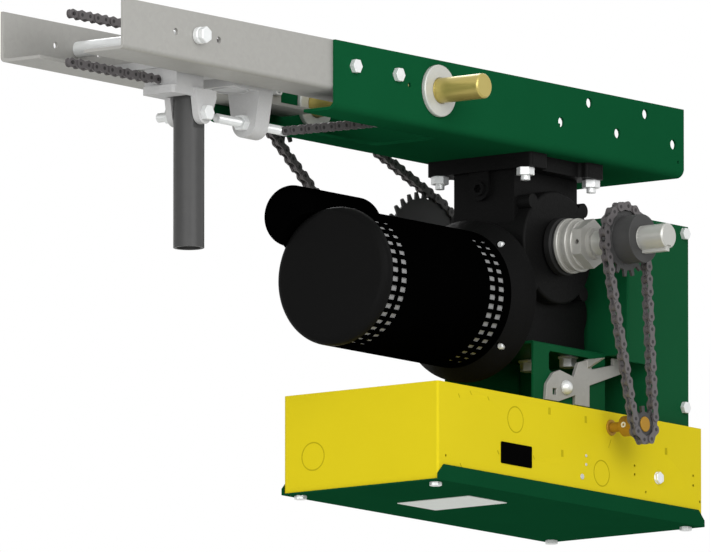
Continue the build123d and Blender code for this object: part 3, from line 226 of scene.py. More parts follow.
# A CAD solid with its edges broken, in its slot's own finish unless another is given
def dressNode(node, material=None, edge=0.5, name=None, cutter=None, cutMaterial=None):
    bm = bmesh.new()
    bm.from_mesh(nodes[node].data)
    bmesh.ops.remove_doubles(bm, verts=bm.verts, dist=weld["cad"] * mm)
    bmesh.ops.recalc_face_normals(bm, faces=bm.faces)
    bmesh.ops.dissolve_limit(bm, angle_limit=math.radians(weld["flat"]), verts=bm.verts, edges=bm.edges)
    for face in bm.faces:
        face.material_index = 0
    materials = [material or finish[slotOf[node]]] + ([cutMaterial] if cutMaterial else [])
    piece = addPiece(name or camelCase(node), bm, materials, bodyOf[node], [node])
    if cutter:
        cutAway(piece, cutter)
    return roundEdges(piece, edge) if edge else flatFaces(piece)


# Materials
def linear(code):  # sRGB hex to linear colour
    channels = [int(code[i:i + 2], 16) / 255 for i in (1, 3, 5)]
    return [c / 12.92 if c <= 0.04045 else ((c + 0.055) / 1.055) ** 2.4 for c in channels] + [1.0]


def addNode(tree, kind, inputs=None, **settings):
    node = tree.nodes.new(kind)
    for key, value in settings.items():
        setattr(node, key, value)
    for socket, value in (inputs or {}).items():
        if isinstance(value, bpy.types.NodeSocket):
            tree.links.new(value, node.inputs[socket])
        else:
            node.inputs[socket].default_value = value
    return node


def newMaterial(name, **sockets):
    material = bpy.data.materials.new(name)
    material.use_nodes = True
    tree = material.node_tree
    shader = tree.nodes["Principled BSDF"]
    for socket, value in sockets.items():
        shader.inputs[socket.replace("_", " ")].default_value = value
    place = addNode(tree, "ShaderNodeTexCoord").outputs["Object"]
    return material, tree, shader, place


def perMetre(size):  # texture scale for a pattern whose grains are size mm
    return 1 / (size * mm)


# What every finish varies: tone from shade to colour, roughness by spread, and relief by depth mm
def varySurface(tree, shader, tone, shade, colour, sheen, roughness, spread, relief, depth, strength):
    mixed = addNode(tree, "ShaderNodeMix", {0: tone, 6: linear(shade), 7: linear(colour)},
                    data_type="RGBA")  # 6 and 7 are the node's colours A and B, and 2 the colour out
    ranged = addNode(tree, "ShaderNodeMapRange",
                     {"Value": sheen, "To Min": roughness - spread, "To Max": roughness + spread})
    bump = addNode(tree, "ShaderNodeBump", {"Strength": strength, "Distance": depth * mm, "Height": relief})
    tree.links.new(mixed.outputs[2], shader.inputs["Base Color"])
    tree.links.new(ranged.outputs["Result"], shader.inputs["Roughness"])
    tree.links.new(bump.outputs["Normal"], shader.inputs["Normal"])


# Sprayed enamel on sheet: even colour with a slow drift in tone, and the faint orange peel of a thick coat.
# Real peel is about 1.5 mm across; it is drawn at peel mm so that it shows in the render.
def sprayedEnamel(name, colour, shade, peel, roughness, specular):
    material, tree, shader, place = newMaterial(name, Specular_IOR_Level=specular)
    drift = addNode(tree, "ShaderNodeTexNoise", {"Vector": place, "Scale": perMetre(90), "Detail": 4.0})
    skin = addNode(tree, "ShaderNodeTexNoise", {"Vector": place, "Scale": perMetre(peel), "Detail": 1.5})
    varySurface(tree, shader, tone=drift.outputs["Fac"], shade=shade, colour=colour,
                sheen=drift.outputs["Fac"], roughness=roughness, spread=0.06,
                relief=skin.outputs["Fac"], depth=0.05, strength=0.35)
    return material


# Sand casting under paint: the coat keeps the pebbled skin of the mould, so it never gleams.
def paintedCasting(name, colour, shade, grit, roughness, specular):
    material, tree, shader, place = newMaterial(name, Specular_IOR_Level=specular)
    sand = addNode(tree, "ShaderNodeTexNoise", {"Vector": place, "Scale": perMetre(grit), "Detail": 5.0})
    lumps = addNode(tree, "ShaderNodeTexVoronoi", {"Vector": place, "Scale": perMetre(grit * 1.6)})
    pebbled = addNode(tree, "ShaderNodeMath", {0: sand.outputs["Fac"], 1: lumps.outputs["Distance"]},
                      operation="ADD")
    varySurface(tree, shader, tone=sand.outputs["Fac"], shade=shade, colour=colour,
                sheen=lumps.outputs["Distance"], roughness=roughness, spread=0.08,
                relief=pebbled.outputs[0], depth=0.18, strength=0.5)
    return material


# Hot dipped galvanising: a grey skin of flat zinc crystals, each a touch lighter or darker than the next.
def galvanisedSheet(name, colour, shade, crystal, roughness, metallic, specular):
    material, tree, shader, place = newMaterial(name, Metallic=metallic, Specular_IOR_Level=specular)
    spangle = addNode(tree, "ShaderNodeTexVoronoi", {"Vector": place, "Scale": perMetre(crystal)})
    drawn = addNode(tree, "ShaderNodeSeparateColor", {"Color": spangle.outputs["Color"]}).outputs
    varySurface(tree, shader, tone=drawn["Red"], shade=shade, colour=colour,
                sheen=drawn["Green"], roughness=roughness, spread=0.025,
                relief=drawn["Blue"], depth=0.02, strength=0.06)
    return material


# Plated or turned metal: fine tool marks break the highlight, and handling leaves faint cloudy patches.
def platedMetal(name, colour, shade, metallic, roughness, mark, specular=0.5):
    material, tree, shader, place = newMaterial(name, Metallic=metallic, Specular_IOR_Level=specular)
    cloud = addNode(tree, "ShaderNodeTexNoise", {"Vector": place, "Scale": perMetre(14), "Detail": 4.0})
    marks = addNode(tree, "ShaderNodeTexNoise", {"Vector": place, "Scale": perMetre(mark), "Detail": 2.0})
    varySurface(tree, shader, tone=cloud.outputs["Fac"], shade=shade, colour=colour,
                sheen=marks.outputs["Fac"], roughness=roughness, spread=0.03,
                relief=marks.outputs["Fac"], depth=0.02, strength=0.06)
    return material


# Moulded plastic: one colour with the fine spark texture of the tool.
def mouldedPlastic(name, colour, shade, grain, roughness):
    material, tree, shader, place = newMaterial(name, Specular_IOR_Level=0.35)
    spark = addNode(tree, "ShaderNodeTexNoise", {"Vector": place, "Scale": perMetre(grain), "Detail": 3.0})
    varySurface(tree, shader, tone=spark.outputs["Fac"], shade=shade, colour=colour,
                sheen=spark.outputs["Fac"], roughness=roughness, spread=0.05,
                relief=spark.outputs["Fac"], depth=0.04, strength=0.4)
    return material


# One finish for each slot of the record
finish = {
    "green_paint": sprayedEnamel("greenEnamel", "#115231", "#0f4c2c", peel=2.5, roughness=0.55, specular=0.0),
    "yellow_paint": sprayedEnamel("yellowEnamel", "#d9c61c", "#d4c118", peel=2.5, roughness=0.55,
                                  specular=0.06),
    "black_paint": sprayedEnamel("blackEnamel", "#030303", "#010101", peel=2.0, roughness=0.5, specular=0.0),
    "black_cast": paintedCasting("blackCasting", "#121212", "#0d0d0d", grit=1.6, roughness=0.5,
                                 specular=0.06),
    "galvanised": galvanisedSheet("galvanisedSheet", "#a5a4a0", "#a2a19d", crystal=4, roughness=0.495,
                                  metallic=0.35, specular=0.3),
    "zinc_steel": platedMetal("brightZinc", "#eaecec", "#dfe1e1", metallic=0.3, roughness=0.32, mark=2.0),
    "gold_zinc": platedMetal("yellowChromate", "#b8a85f", "#b0a057", metallic=0.5, roughness=0.3, mark=6.0),
    "bright_steel": platedMetal("turnedSteel", "#c0c0bb", "#b4b4af", metallic=0.4, roughness=0.36, mark=1.5),
    "chain_steel": platedMetal("oiledChainSteel", "#615d5e", "#545152", metallic=0.2, roughness=0.5,
                               mark=1.0),
    "sprocket_steel": platedMetal("darkMachinedSteel", "#454545", "#3c3c3c", metallic=0.2, roughness=0.5,
                                  mark=1.5, specular=0.25),
    "trolley_cast": paintedCasting("greyCasting", "#c2c2c2", "#b8b8b8", grit=2.0, roughness=0.55,
                                   specular=0.15),
    "arm_steel": platedMetal("greySteelTube", "#484848", "#414141", metallic=0.15, roughness=0.4,
                             mark=2.0, specular=0.15),
    "brass": platedMetal("turnedBrass", "#ad8227", "#9c7420", metallic=0.3, roughness=0.42,
                         mark=1.5, specular=0.2),
    "white_nylon": mouldedPlastic("naturalNylon", "#dedcd3", "#d2d0c6", grain=1.2, roughness=0.5),
    "board_green": mouldedPlastic("boardLaminate", "#1f6b45", "#195a3a", grain=0.8, roughness=0.45),
    "black_plastic": mouldedPlastic("blackPhenolic", "#1d1d1d", "#161616", grain=0.8, roughness=0.5),
    "transformer_steel": platedMetal("varnishedLaminations", "#4b4a4c", "#3b3a3c", metallic=0.4,
                                     roughness=0.5, mark=0.8),
}
# Finishes of single pieces
bracketGreen = sprayedEnamel("bracketEnamel", "#10502f", "#0e4a2b", peel=2.5, roughness=0.38, specular=0.02)
coverGreen = sprayedEnamel("coverEnamel", "#0e4629", "#0d4126", peel=2.5, roughness=0.55, specular=0.0)
capBlack = sprayedEnamel("capEnamel", "#141414", "#111111", peel=2.0, roughness=0.42, specular=0.02)
blackOxide = platedMetal("blackOxideSteel", "#242424", "#1c1c1c", metallic=0.2, roughness=0.5, mark=1.5)
# Dark steel for the chain's pins: painted shade where the pin holes are
pinHoleShade = platedMetal("oiledPinSteel", "#2a2728", "#1f1d1e", metallic=0.2, roughness=0.5, mark=0.8)
bearingSteel = platedMetal("groundBearingSteel", "#c6c7c2", "#bcbdb8", metallic=0.2, roughness=0.4, mark=1.5)
clutchSteel = platedMetal("faceTurnedSteel", "#a9a8a3", "#a09f9a", metallic=0.25, roughness=0.36, mark=1.2)
ventGrey = platedMetal("bareStatorSteel", "#9a9a9a", "#888888", metallic=0.0, roughness=0.6, mark=1.0)
bareAluminium = platedMetal("bareAluminiumPlate", "#dfe3df", "#d6dad6", metallic=0.0, roughness=0.5, mark=1.2)
blackPlate = sprayedEnamel("blackPlateEnamel", "#070707", "#040404", peel=1.5, roughness=0.5, specular=0.0)
flangeBlack = paintedCasting("flangeCasting", "#141414", "#101010", grit=1.6, roughness=0.6, specular=0.02)
# Darker yellow for the faces cut into the box: painted shade in its grooves, holes and pressed marks
grooveShadeYellow = sprayedEnamel("shadedYellowEnamel", "#bfaf1b", "#b0a119", peel=2.5, roughness=0.6,
                             specular=0.0)
sealRubber = mouldedPlastic("sealRubber", "#0b0b0b", "#080808", grain=0.8, roughness=0.6)
for node, part in nodes.items():  # the capacitor shows beside its cover, so it is black too
    part.data.materials.clear()
    part.data.materials.append(finish["black_paint"] if node == "capacitor" else finish[slotOf[node]])
print("materials made:", len(bpy.data.materials))


# Sheet metal of the frame
channelHoles = {"spots": ((576, -55, 3.4), (123, -31, 5.0)), "long": 12.0}  # x, z and diameter
cutter = bmesh.new()
for x, z, diameter in channelHoles["spots"]:
    joinInto(cutter, prism(diameter / 2, channelHoles["long"], sides=24),
             onFace(channelLow.y, x, z, behind=channelHoles["long"] / 2))
dressNode("frame_channel", edge=0.6, name="channelSheet", cutter=cutter)
dressNode("rail_front", name="frontRail")
dressNode("rail_rear", name="rearRail")
dressNode("support_bracket", bracketGreen, edge=0.6)
dressNode("saddle_bracket", bracketGreen, edge=0.6)
dressNode("track_spacer")
dressNode("release_lever")
dressNode("lever_pivot", edge=0.3)
print("frame sheets dressed")

# Fasteners
for node in ("rail_bolts", "gear_studs", "bracket_screws", "cover_screws", "pivot_bolt", "take_up_nuts"):
    dressNode(node, edge=0.6)

# Larger head and collar of the bolt through the track spacer
spacerHead = {"collar": 17.0, "collarLong": 6.0, "flats": 15.0, "long": 6.5, "edge": 1.0}
spacerLow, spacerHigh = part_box("track_spacer")
spacerMiddle = (spacerLow + spacerHigh) / 2
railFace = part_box("rail_front")[0].y
head = prism(spacerHead["collar"] / 2, spacerHead["collarLong"], sides=32)
joinInto(head, hexHead(spacerHead["flats"], spacerHead["long"]),
         Matrix.Translation((0, 0, spacerHead["collarLong"] * mm)))
moveTo(head, axisMatrix((spacerMiddle.x, railFace, spacerMiddle.z), toFront))
roundEdges(addPiece("spacerBoltHead", head, [finish["zinc_steel"]], "frame"),
           spacerHead["edge"])

# Flanged bolts under the saddle
saddleBolt = {"spots": ((462, -25), (462, 25)), "drop": 3.0, "flange": 21.0, "flangeThick": 2.4,
              "flats": 15.5, "long": 9.2, "edge": 0.8}
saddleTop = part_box("saddle_bracket")[1].z
bolts = bmesh.new()
for x, y in saddleBolt["spots"]:
    spot = at(x, y, 0)
    spot.z = saddleTop - saddleBolt["drop"] * mm
    joinInto(bolts, prism(saddleBolt["flange"] / 2, saddleBolt["flangeThick"], sides=40),
             axisMatrix(spot, down))
    spot.z -= saddleBolt["flangeThick"] * mm
    joinInto(bolts, hexHead(saddleBolt["flats"], saddleBolt["long"]), axisMatrix(spot, down))
roundEdges(addPiece("saddleBolts", bolts, [finish["zinc_steel"]], "frame"),
           saddleBolt["edge"])

# Gear reducer, and its output seal with lips given as (along, radius)
dressNode("gear_housing", edge=1.2)
dressNode("gear_cover", edge=1.0)
dressNode("worm_end_cap", edge=0.8)
seal = {"inner": 23.2, "gap": 0.3, "edge": 0.9,
        "lips": ((0.0, 27.2), (3.2, 27.2), (3.2, 29.4), (11.0, 29.4))}
outputAt = pivots["output_spin"]
discLow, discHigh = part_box("clutch_discs")
sealStart, sealEnd = seal["lips"][0][0], seal["lips"][-1][0]
profile = [(sealStart, seal["inner"]), *seal["lips"], (sealEnd, seal["inner"]), (sealStart, seal["inner"])]
ring = lathe(profile, segments=72)
moveTo(ring, axisMatrix((outputAt.x, discHigh.y + seal["gap"] * mm, outputAt.z), toBack))
roundEdges(addPiece("outputSeal", ring, [sealRubber], "frame"), seal["edge"])

# Clutch discs, each with a full rim and a stepped-down face toward the nut; bore is a share of the radius
clutch = {"discs": 2, "rim": 4.6, "edge": 0.9, "step": 2.6, "taper": 1.0, "shrink": 0.8, "bore": 0.46}
discRadius = (discHigh.x - discLow.x) / 2 / mm
discThick = (discHigh.y - discLow.y) / mm / clutch["discs"]
bore = discRadius * clutch["bore"]
profile = [(0, bore)]
for number in range(clutch["discs"]):  # from the nut side toward the reducer
    start = number * discThick
    radius = discRadius - (clutch["discs"] - 1 - number) * clutch["shrink"]
    inner = radius - clutch["step"]
    rimStart = start + discThick - clutch["rim"]
    profile += [(start, inner - clutch["taper"]), (start + clutch["taper"], inner), (rimStart, inner),
                (rimStart, radius - clutch["edge"]), (rimStart + clutch["edge"], radius),
                (start + discThick - clutch["edge"], radius), (start + discThick, radius - clutch["edge"])]
profile += [(clutch["discs"] * discThick, bore), (0, bore)]
stack = moveTo(lathe(profile, segments=72), axisMatrix((outputAt.x, discLow.y, outputAt.z), toBack))
addPiece("clutchDiscs", stack, [clutchSteel], "output", ["clutch_discs"])
dressNode("clutch_nut", clutchSteel, edge=1.2)

# Shafts, with the key under the output shaft's end
dressNode("output_shaft", edge=0.3)
shaftKey = {"wide": 6.2, "seated": 3.0, "proud": 3.0, "short": 2.0, "edge": 0.3}
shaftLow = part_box("output_shaft")[0]
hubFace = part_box("limit_drive_sprocket")[0].y
keyEnd = shaftLow.y + shaftKey["short"] * mm
key = slab(shaftKey["wide"], (hubFace - keyEnd) / mm, shaftKey["seated"] + shaftKey["proud"])
moveTo(key, Matrix.Translation((outputAt.x, (keyEnd + hubFace) / 2, shaftLow.z - shaftKey["proud"] * mm)))
roundEdges(addPiece("shaftKey", key, [finish["bright_steel"]], "output"), shaftKey["edge"])
dressNode("drive_shaft", edge=0.3)
print("reducer and clutch dressed")

# Sprockets and flange bearings
for node, material in {"limit_drive_sprocket": None, "limit_sprocket": None, "drive_sprocket": blackOxide,
                       "driven_sprocket": blackOxide, "trolley_sprocket": None}.items():
    dressNode(node, material, edge=0.4)
dressNode("bearing_front", bearingSteel, edge=1.0, name="frontBearing")
dressNode("bearing_rear", bearingSteel, edge=1.0, name="rearBearing")

# Motor shell with two pairs of vent columns; each vent is open for some of its share of the steps around
vents = {"columns": (5.6, 20.0, 167.5, 182.0), "long": 10.4, "deep": 2.0, "around": 46, "share": 7,
         "open": 4, "closed": 0.55}  # no vents within this cosine of the capacitor cover
motorAt = pivots["motor_spin"]
shellLow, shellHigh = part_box("motor_shell")
shellRadius = (shellHigh.z - shellLow.z) / 2 / mm
stations = [0.0, (shellHigh.x - shellLow.x) / mm]
for centre in vents["columns"]:
    stations += [centre - vents["long"] / 2, centre + vents["long"] / 2]
capacitorLow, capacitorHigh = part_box("capacitor_cover")
capacitorAt = (capacitorLow + capacitorHigh) / 2
coverSide = Vector((motorAt.z - capacitorAt.z, capacitorAt.y - motorAt.y)).normalized()
steps = vents["around"] * vents["share"]
shell = lathe([(along, shellRadius) for along in sorted(stations)], segments=steps)
openings = []
for face in shell.faces:
    spot = face.calc_center_median()
    inColumn = any(abs(spot.z / mm - centre) < vents["long"] / 2 for centre in vents["columns"])
    step = int((math.atan2(spot.y, spot.x) % math.tau) / math.tau * steps)
    ventAngle = (step // vents["share"] * vents["share"] + vents["open"] / 2) / steps * math.tau
    underCover = Vector((math.cos(ventAngle), math.sin(ventAngle))).dot(coverSide) > vents["closed"]
    if inColumn and not underCover and step % vents["share"] < vents["open"]:
        openings.append(face)
if openings[0].normal.dot(openings[0].calc_center_median().xy.to_3d()) < 0:
    bmesh.ops.reverse_faces(shell, faces=shell.faces)
bmesh.ops.inset_region(shell, faces=openings, thickness=0, depth=-vents["deep"] * mm, use_even_offset=True)
for face in openings:
    face.material_index = 1
moveTo(shell, axisMatrix((shellLow.x, motorAt.y, motorAt.z), toRight))
addPiece("motorShell", shell, [finish["black_paint"], ventGrey], "frame", ["motor_shell"])

# Motor end cap with its rounded rim
endCap = {"rim": 9.0, "around": 128, "segments": 8}
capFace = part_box("motor_end_cap")[0].x
capDepth = (shellLow.x - capFace) / mm
cap = lathe([(0, 0), (0, shellRadius), (capDepth, shellRadius)], segments=endCap["around"])
rimVerts = {vert for vert in cap.verts
            if vert.co.z < capDepth * mm / 2 and vert.co.xy.length > shellRadius * mm / 2}
rim = [edge for edge in cap.edges if rimVerts.issuperset(edge.verts)]
bevelEdges(cap, rim, endCap["rim"], endCap["segments"])
moveTo(cap, axisMatrix((capFace, motorAt.y, motorAt.z), toRight))
addPiece("motorEndCap", cap, [capBlack], "frame", ["motor_end_cap"])
dressNode("motor_flange", flangeBlack, edge=1.0)
dressNode("capacitor_cover", edge=0.8)

# Screws around the motor flange
flangeScrews = {"circle": 73.0, "head": 6.4, "thick": 6.0, "set": 5.0, "edge": 0.8,
                "angles": (45, 135, 225, 315)}
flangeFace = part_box("motor_flange")[0].x + flangeScrews["set"] * mm
reach = flangeScrews["circle"] * mm
screws = bmesh.new()
for angle in map(math.radians, flangeScrews["angles"]):
    spot = (flangeFace, motorAt.y + reach * math.cos(angle), motorAt.z + reach * math.sin(angle))
    joinInto(screws, prism(flangeScrews["head"] / 2, flangeScrews["thick"], sides=24),
             axisMatrix(spot, toRight))
roundEdges(addPiece("flangeScrews", screws, [finish["zinc_steel"]], "frame"),
           flangeScrews["edge"])
print("motor modelled")


# Roller chain, half inch pitch: waisted plates, rollers and riveted pins, stamped along the pin places.
# The eye's radius and the waist are shares of a plate's height.
chainSize = {"pitch": 12.7, "roller": 7.77, "rollerWide": 3.3, "sheet": 1.1, "height": 9.8,
             "innerHeight": 9.4, "eye": 0.49, "waist": 0.66, "innerWidth": 3.4, "gap": 0.1, "pin": 3.8,
             "pinProud": 0.2}
linkStep = chainSize["pitch"] * mm


def linkPlate(height):  # two round eyes with a drawn-in waist
    bm = slab(chainSize["pitch"] + height, height, chainSize["sheet"], height * chainSize["eye"])
    flanks = [edge for edge in bm.edges if edge.calc_length() > 0.8 * linkStep]  # straight, eye to eye
    bmesh.ops.subdivide_edges(bm, edges=flanks, cuts=1)
    middle = [vert for vert in bm.verts if abs(vert.co.x) < chainSize["sheet"] * mm / 2]
    bmesh.ops.scale(bm, vec=(1, chainSize["waist"], 1), verts=middle)
    return asMesh(moveTo(bm, Matrix.Translation((0, 0, -chainSize["sheet"] * mm / 2))))


outerPlate = linkPlate(chainSize["height"])
innerPlate = linkPlate(chainSize["innerHeight"])
innerSide = chainSize["innerWidth"] / 2 + chainSize["sheet"] / 2
outerSide = innerSide + chainSize["sheet"] + chainSize["gap"]
pinLong = 2 * outerSide + chainSize["sheet"] + 2 * chainSize["pinProud"]
rollerMesh = asMesh(prism(chainSize["roller"] / 2, chainSize["rollerWide"], sides=12))
pinShape = prism(chainSize["pin"] / 2, pinLong, sides=10)
# The pins take the chain's second, darker finish: painted shade at the pin holes
for face in pinShape.faces:
    face.material_index = 1
pinMesh = asMesh(pinShape)


# A closed chain starts with an outer link, an open one with an inner link; the bare pin has no roller
def addChain(name, node, pins, chainY, body, closed=False, bare=None):
    bm = bmesh.new()
    halfRoller = Vector((0, chainSize["rollerWide"] / 2 * mm, 0))
    halfPin = Vector((0, pinLong / 2 * mm, 0))
    for number, (x, z) in enumerate(pins):
        spot = Vector((x, chainY, z))
        if number != bare:
            stamp(bm, rollerMesh, axisMatrix(spot - halfRoller, toBack))
        stamp(bm, pinMesh, axisMatrix(spot - halfPin, toBack))
        if number == len(pins) - 1 and not closed:
            break
        nextX, nextZ = pins[(number + 1) % len(pins)]
        outer = (number % 2 == 0) == closed
        side = outerSide if outer else innerSide
        middle = Vector(((x + nextX) / 2, chainY, (z + nextZ) / 2))
        slope = math.atan2(nextZ - z, nextX - x)
        turn = Matrix.Rotation(-slope, 4, "Y") @ Matrix.Rotation(math.pi / 2, 4, "X")
        for across in (-side, side):
            place = Matrix.Translation(middle + Vector((0, across * mm, 0))) @ turn
            stamp(bm, outerPlate if outer else innerPlate, place)
    return addPiece(name, bm, [finish["chain_steel"], pinHoleShade], body, [node])


def pitchRadius(teeth):
    return linkStep / 2 / math.sin(math.pi / teeth)


def loopPins(a, teethA, b, teethB, links):  # pin places of a closed chain round two sprockets
    span = b - a
    heading = math.atan2(span.z, span.x)
    distance = math.hypot(span.x, span.z)
    radiusA, radiusB = pitchRadius(teethA), pitchRadius(teethB)
    lean = math.acos((radiusA - radiusB) / distance)
    run = distance * math.sin(lean) / linkStep
    wrapA, wrapB = teethA * (1 - lean / math.pi), teethB * lean / math.pi
    pins = []
    for way in range(links):
        if way <= wrapA:  # round the first sprocket
            centre, radius, angle, far = a, radiusA, heading + lean + way * math.tau / teethA, 0.0
        elif way <= wrapA + run:  # straight to the second
            centre, radius, angle, far = a, radiusA, heading - lean, (way - wrapA) * linkStep
        elif way <= wrapA + run + wrapB:  # round it
            turned = (way - wrapA - run) * math.tau / teethB
            centre, radius, angle, far = b, radiusB, heading - lean + turned, 0.0
        else:  # straight back
            centre, radius, angle, far = b, radiusB, heading + lean, (way - wrapA - run - wrapB) * linkStep
        pins.append((centre.x + radius * math.cos(angle) - far * math.sin(angle),
                     centre.z + radius * math.sin(angle) + far * math.cos(angle)))
    return pins


def middleY(node):
    low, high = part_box(node)
    return (low.y + high.y) / 2


# Closed chains from the output shaft to the limit shaft and to the drive shaft
limitDrive = {"outputTeeth": 17, "limitTeeth": 8, "links": 42}
shaftDrive = {"outputTeeth": 34, "shaftTeeth": 16, "links": 68}
limitAt = pivots["limit_spin"]
driveAt = pivots["drive_spin"]
limitPins = loopPins(outputAt, limitDrive["outputTeeth"], limitAt, limitDrive["limitTeeth"],
                     limitDrive["links"])
addChain("limitChain", "limit_chain", limitPins, middleY("limit_chain"), "frame", closed=True)
drivePins = loopPins(outputAt, shaftDrive["outputTeeth"], driveAt, shaftDrive["shaftTeeth"],
                     shaftDrive["links"])
addChain("driveChain", "drive_chain", drivePins, middleY("drive_chain"), "frame", closed=True)

# Trolley chain: a straight upper run, half a turn on the sprocket, and a leaning run to the take-up rod.
# Upper, takeUp and front count links, and the blend runs between two pins of the take-up run.
trolleyChain = {"teeth": 12, "upper": 39, "takeUp": 18, "front": 11, "blend": (2, -2), "leanMost": 0.6,
                "tries": 60}
rodLow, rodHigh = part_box("take_up_rod")
rodZ = (rodLow.z + rodHigh.z) / 2
trolleyRadius = pitchRadius(trolleyChain["teeth"])
trolleyStep = math.tau / trolleyChain["teeth"]
leanLow, leanHigh = 0.0, trolleyChain["leanMost"]
for _ in range(trolleyChain["tries"]):  # halving finds the lean at which the run ends at the rod's height
    lean = (leanLow + leanHigh) / 2
    run = (trolleyChain["takeUp"] - (math.pi - lean) / trolleyStep) * linkStep
    endHeight = driveAt.z - trolleyRadius * math.cos(lean) - run * math.sin(lean)
    leanLow, leanHigh = (leanLow, lean) if endHeight < rodZ else (lean, leanHigh)
wrap = math.pi - lean


def trolleyPin(number):  # counted from the sprocket's top
    if number <= 0:
        return driveAt.x + number * linkStep, driveAt.z + trolleyRadius
    if number * trolleyStep <= wrap:
        angle = math.pi / 2 - number * trolleyStep
        return driveAt.x + trolleyRadius * math.cos(angle), driveAt.z + trolleyRadius * math.sin(angle)
    far = (number - wrap / trolleyStep) * linkStep
    return (driveAt.x + trolleyRadius * math.sin(lean) - far * math.cos(lean),
            driveAt.z - trolleyRadius * math.cos(lean) - far * math.sin(lean))


wrapPins = int(wrap / trolleyStep)
upperPins = [trolleyPin(number) for number in range(-trolleyChain["upper"], wrapPins + 1)]
addChain("upperRun", "trolley_chain_upper", upperPins, midPlane, "frame", bare=len(upperPins) - 1)
rearPins = [trolleyPin(number) for number in range(wrapPins, trolleyChain["takeUp"] + 1)]
rearPiece = addChain("takeUpRun", "trolley_chain_rear", rearPins, midPlane, None, bare=len(rearPins) - 1)
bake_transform(rearPiece)
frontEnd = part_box("trolley_chain_front")[0].x + chainSize["height"] / 2 * mm
frontZ = driveAt.z - trolleyRadius
frontPins = [(frontEnd + number * linkStep, frontZ) for number in range(trolleyChain["front"], -1, -1)]
addChain("frontRun", "trolley_chain_front", frontPins, midPlane, "trolley", bare=0)
print("chains linked:", len(limitPins + drivePins + upperPins + rearPins + frontPins), "pins")

# Trolley and door arm
dressNode("trolley_body", edge=1.2, name="trolleyCasting")
dressNode("trolley_shoes", edge=0.6)
dressNode("door_arm", edge=0.6)

# Take-up rod: thread up to the clevis plate at its end
thread = {"pitch": 1.6, "deep": 0.75, "radius": 4.7, "short": 11.5, "sharp": 50}
clevis = {"long": 15.5, "wide": 9.0, "thick": 3.0, "corner": 2.0}
threadLong = (rodHigh.x - rodLow.x) / mm - thread["short"]
root = thread["radius"] - thread["deep"]
profile = [(0, 0), (0, root)]
for turn in range(int(threadLong / thread["pitch"])):
    profile += [((turn + 0.5) * thread["pitch"], thread["radius"]), ((turn + 1) * thread["pitch"], root)]
rod = moveTo(lathe(profile, segments=24), axisMatrix((rodLow.x, midPlane, rodZ), toRight))
clevisAt = (rodHigh.x - clevis["long"] / 2 * mm, midPlane + clevis["thick"] / 2 * mm, rodZ)
joinInto(rod, slab(**clevis), axisMatrix(clevisAt, toFront))
addPiece("takeUpRod", rod, [finish["zinc_steel"]], "trolley", ["take_up_rod"],
         sharp=thread["sharp"])
print("trolley dressed")

# Control box with its knockouts, small holes and pressed marks; front spots are x and z, left spots y and z
knockouts = {"frontRadius": 13.0, "leftRadius": 14.0, "line": 1.3, "deep": 0.35,
             "front": ((277, -353.5), (422, -392)), "left": ((60, -392),)}
smallHoles = {"radius": 1.4, "long": 8.0,
              "spots": ((478, -378), (478, -387), (577.8, -377.5), (577.8, -387.5), (497, -403),
                        (589, -403), (160.7, -402.5))}
markDeep = 0.4
slots = {"long": 7.0, "wide": 4.0, "turn": 0,
         "spots": ((334, -338.5), (395.4, -340.4), (531.4, -357.6), (355.6, -379))}
ticks = {"long": 4.5, "wide": 1.3, "turn": -35,
         "spots": ((182.7, -339.6), (202.3, -334.7), (231.7, -337.2), (185.4, -409.6), (248, -389.8),
                   (307.7, -388.4))}
scribe = {"long": 10.0, "wide": 0.9, "turn": 27, "spots": ((436, -360.3),)}
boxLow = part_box("control_box")[0]
frontFace = boxLow.y
cutter = bmesh.new()


def grooveRing(radius):
    inner, outer, deep = radius - knockouts["line"] / 2, radius + knockouts["line"] / 2, knockouts["deep"]
    section = [(-deep, inner), (-deep, outer), (deep, outer), (deep, inner), (-deep, inner)]
    return lathe(section, segments=48)


for x, z in knockouts["front"]:
    joinInto(cutter, grooveRing(knockouts["frontRadius"]), onFace(frontFace, x, z))
for y, z in knockouts["left"]:
    spot = at(0, y, z)
    joinInto(cutter, grooveRing(knockouts["leftRadius"]), axisMatrix((boxLow.x, spot.y, spot.z), toLeft))
for x, z in smallHoles["spots"]:
    joinInto(cutter, prism(smallHoles["radius"], smallHoles["long"], sides=16),
             onFace(frontFace, x, z, behind=smallHoles["long"] / 2))
for marks in (slots, ticks, scribe):
    turn = Matrix.Rotation(-math.radians(marks["turn"]), 4, "Z")
    for x, z in marks["spots"]:
        joinInto(cutter, slab(marks["wide"], marks["long"], 2 * markDeep),
                 onFace(frontFace, x, z, behind=markDeep) @ turn)
# The cut faces take the second, darker yellow: painted shade in the recesses
for face in cutter.faces:
    face.material_index = 1
dressNode("control_box", edge=0, cutter=cutter, cutMaterial=grooveShadeYellow)

# Small rivets beside the right knockout: x, z and radius
rivets = {"proud": 0.9, "edge": 0.4, "spots": ((395.4, -377, 1.6), (395.4, -386, 1.6), (388.7, -399, 2.9))}
heads = bmesh.new()
for x, z, radius in rivets["spots"]:
    joinInto(heads, prism(radius, rivets["proud"], sides=20), onFace(frontFace, x, z))
roundEdges(addPiece("boxRivets", heads, [bearingSteel], "frame"), rivets["edge"])
dressNode("box_cover", coverGreen)

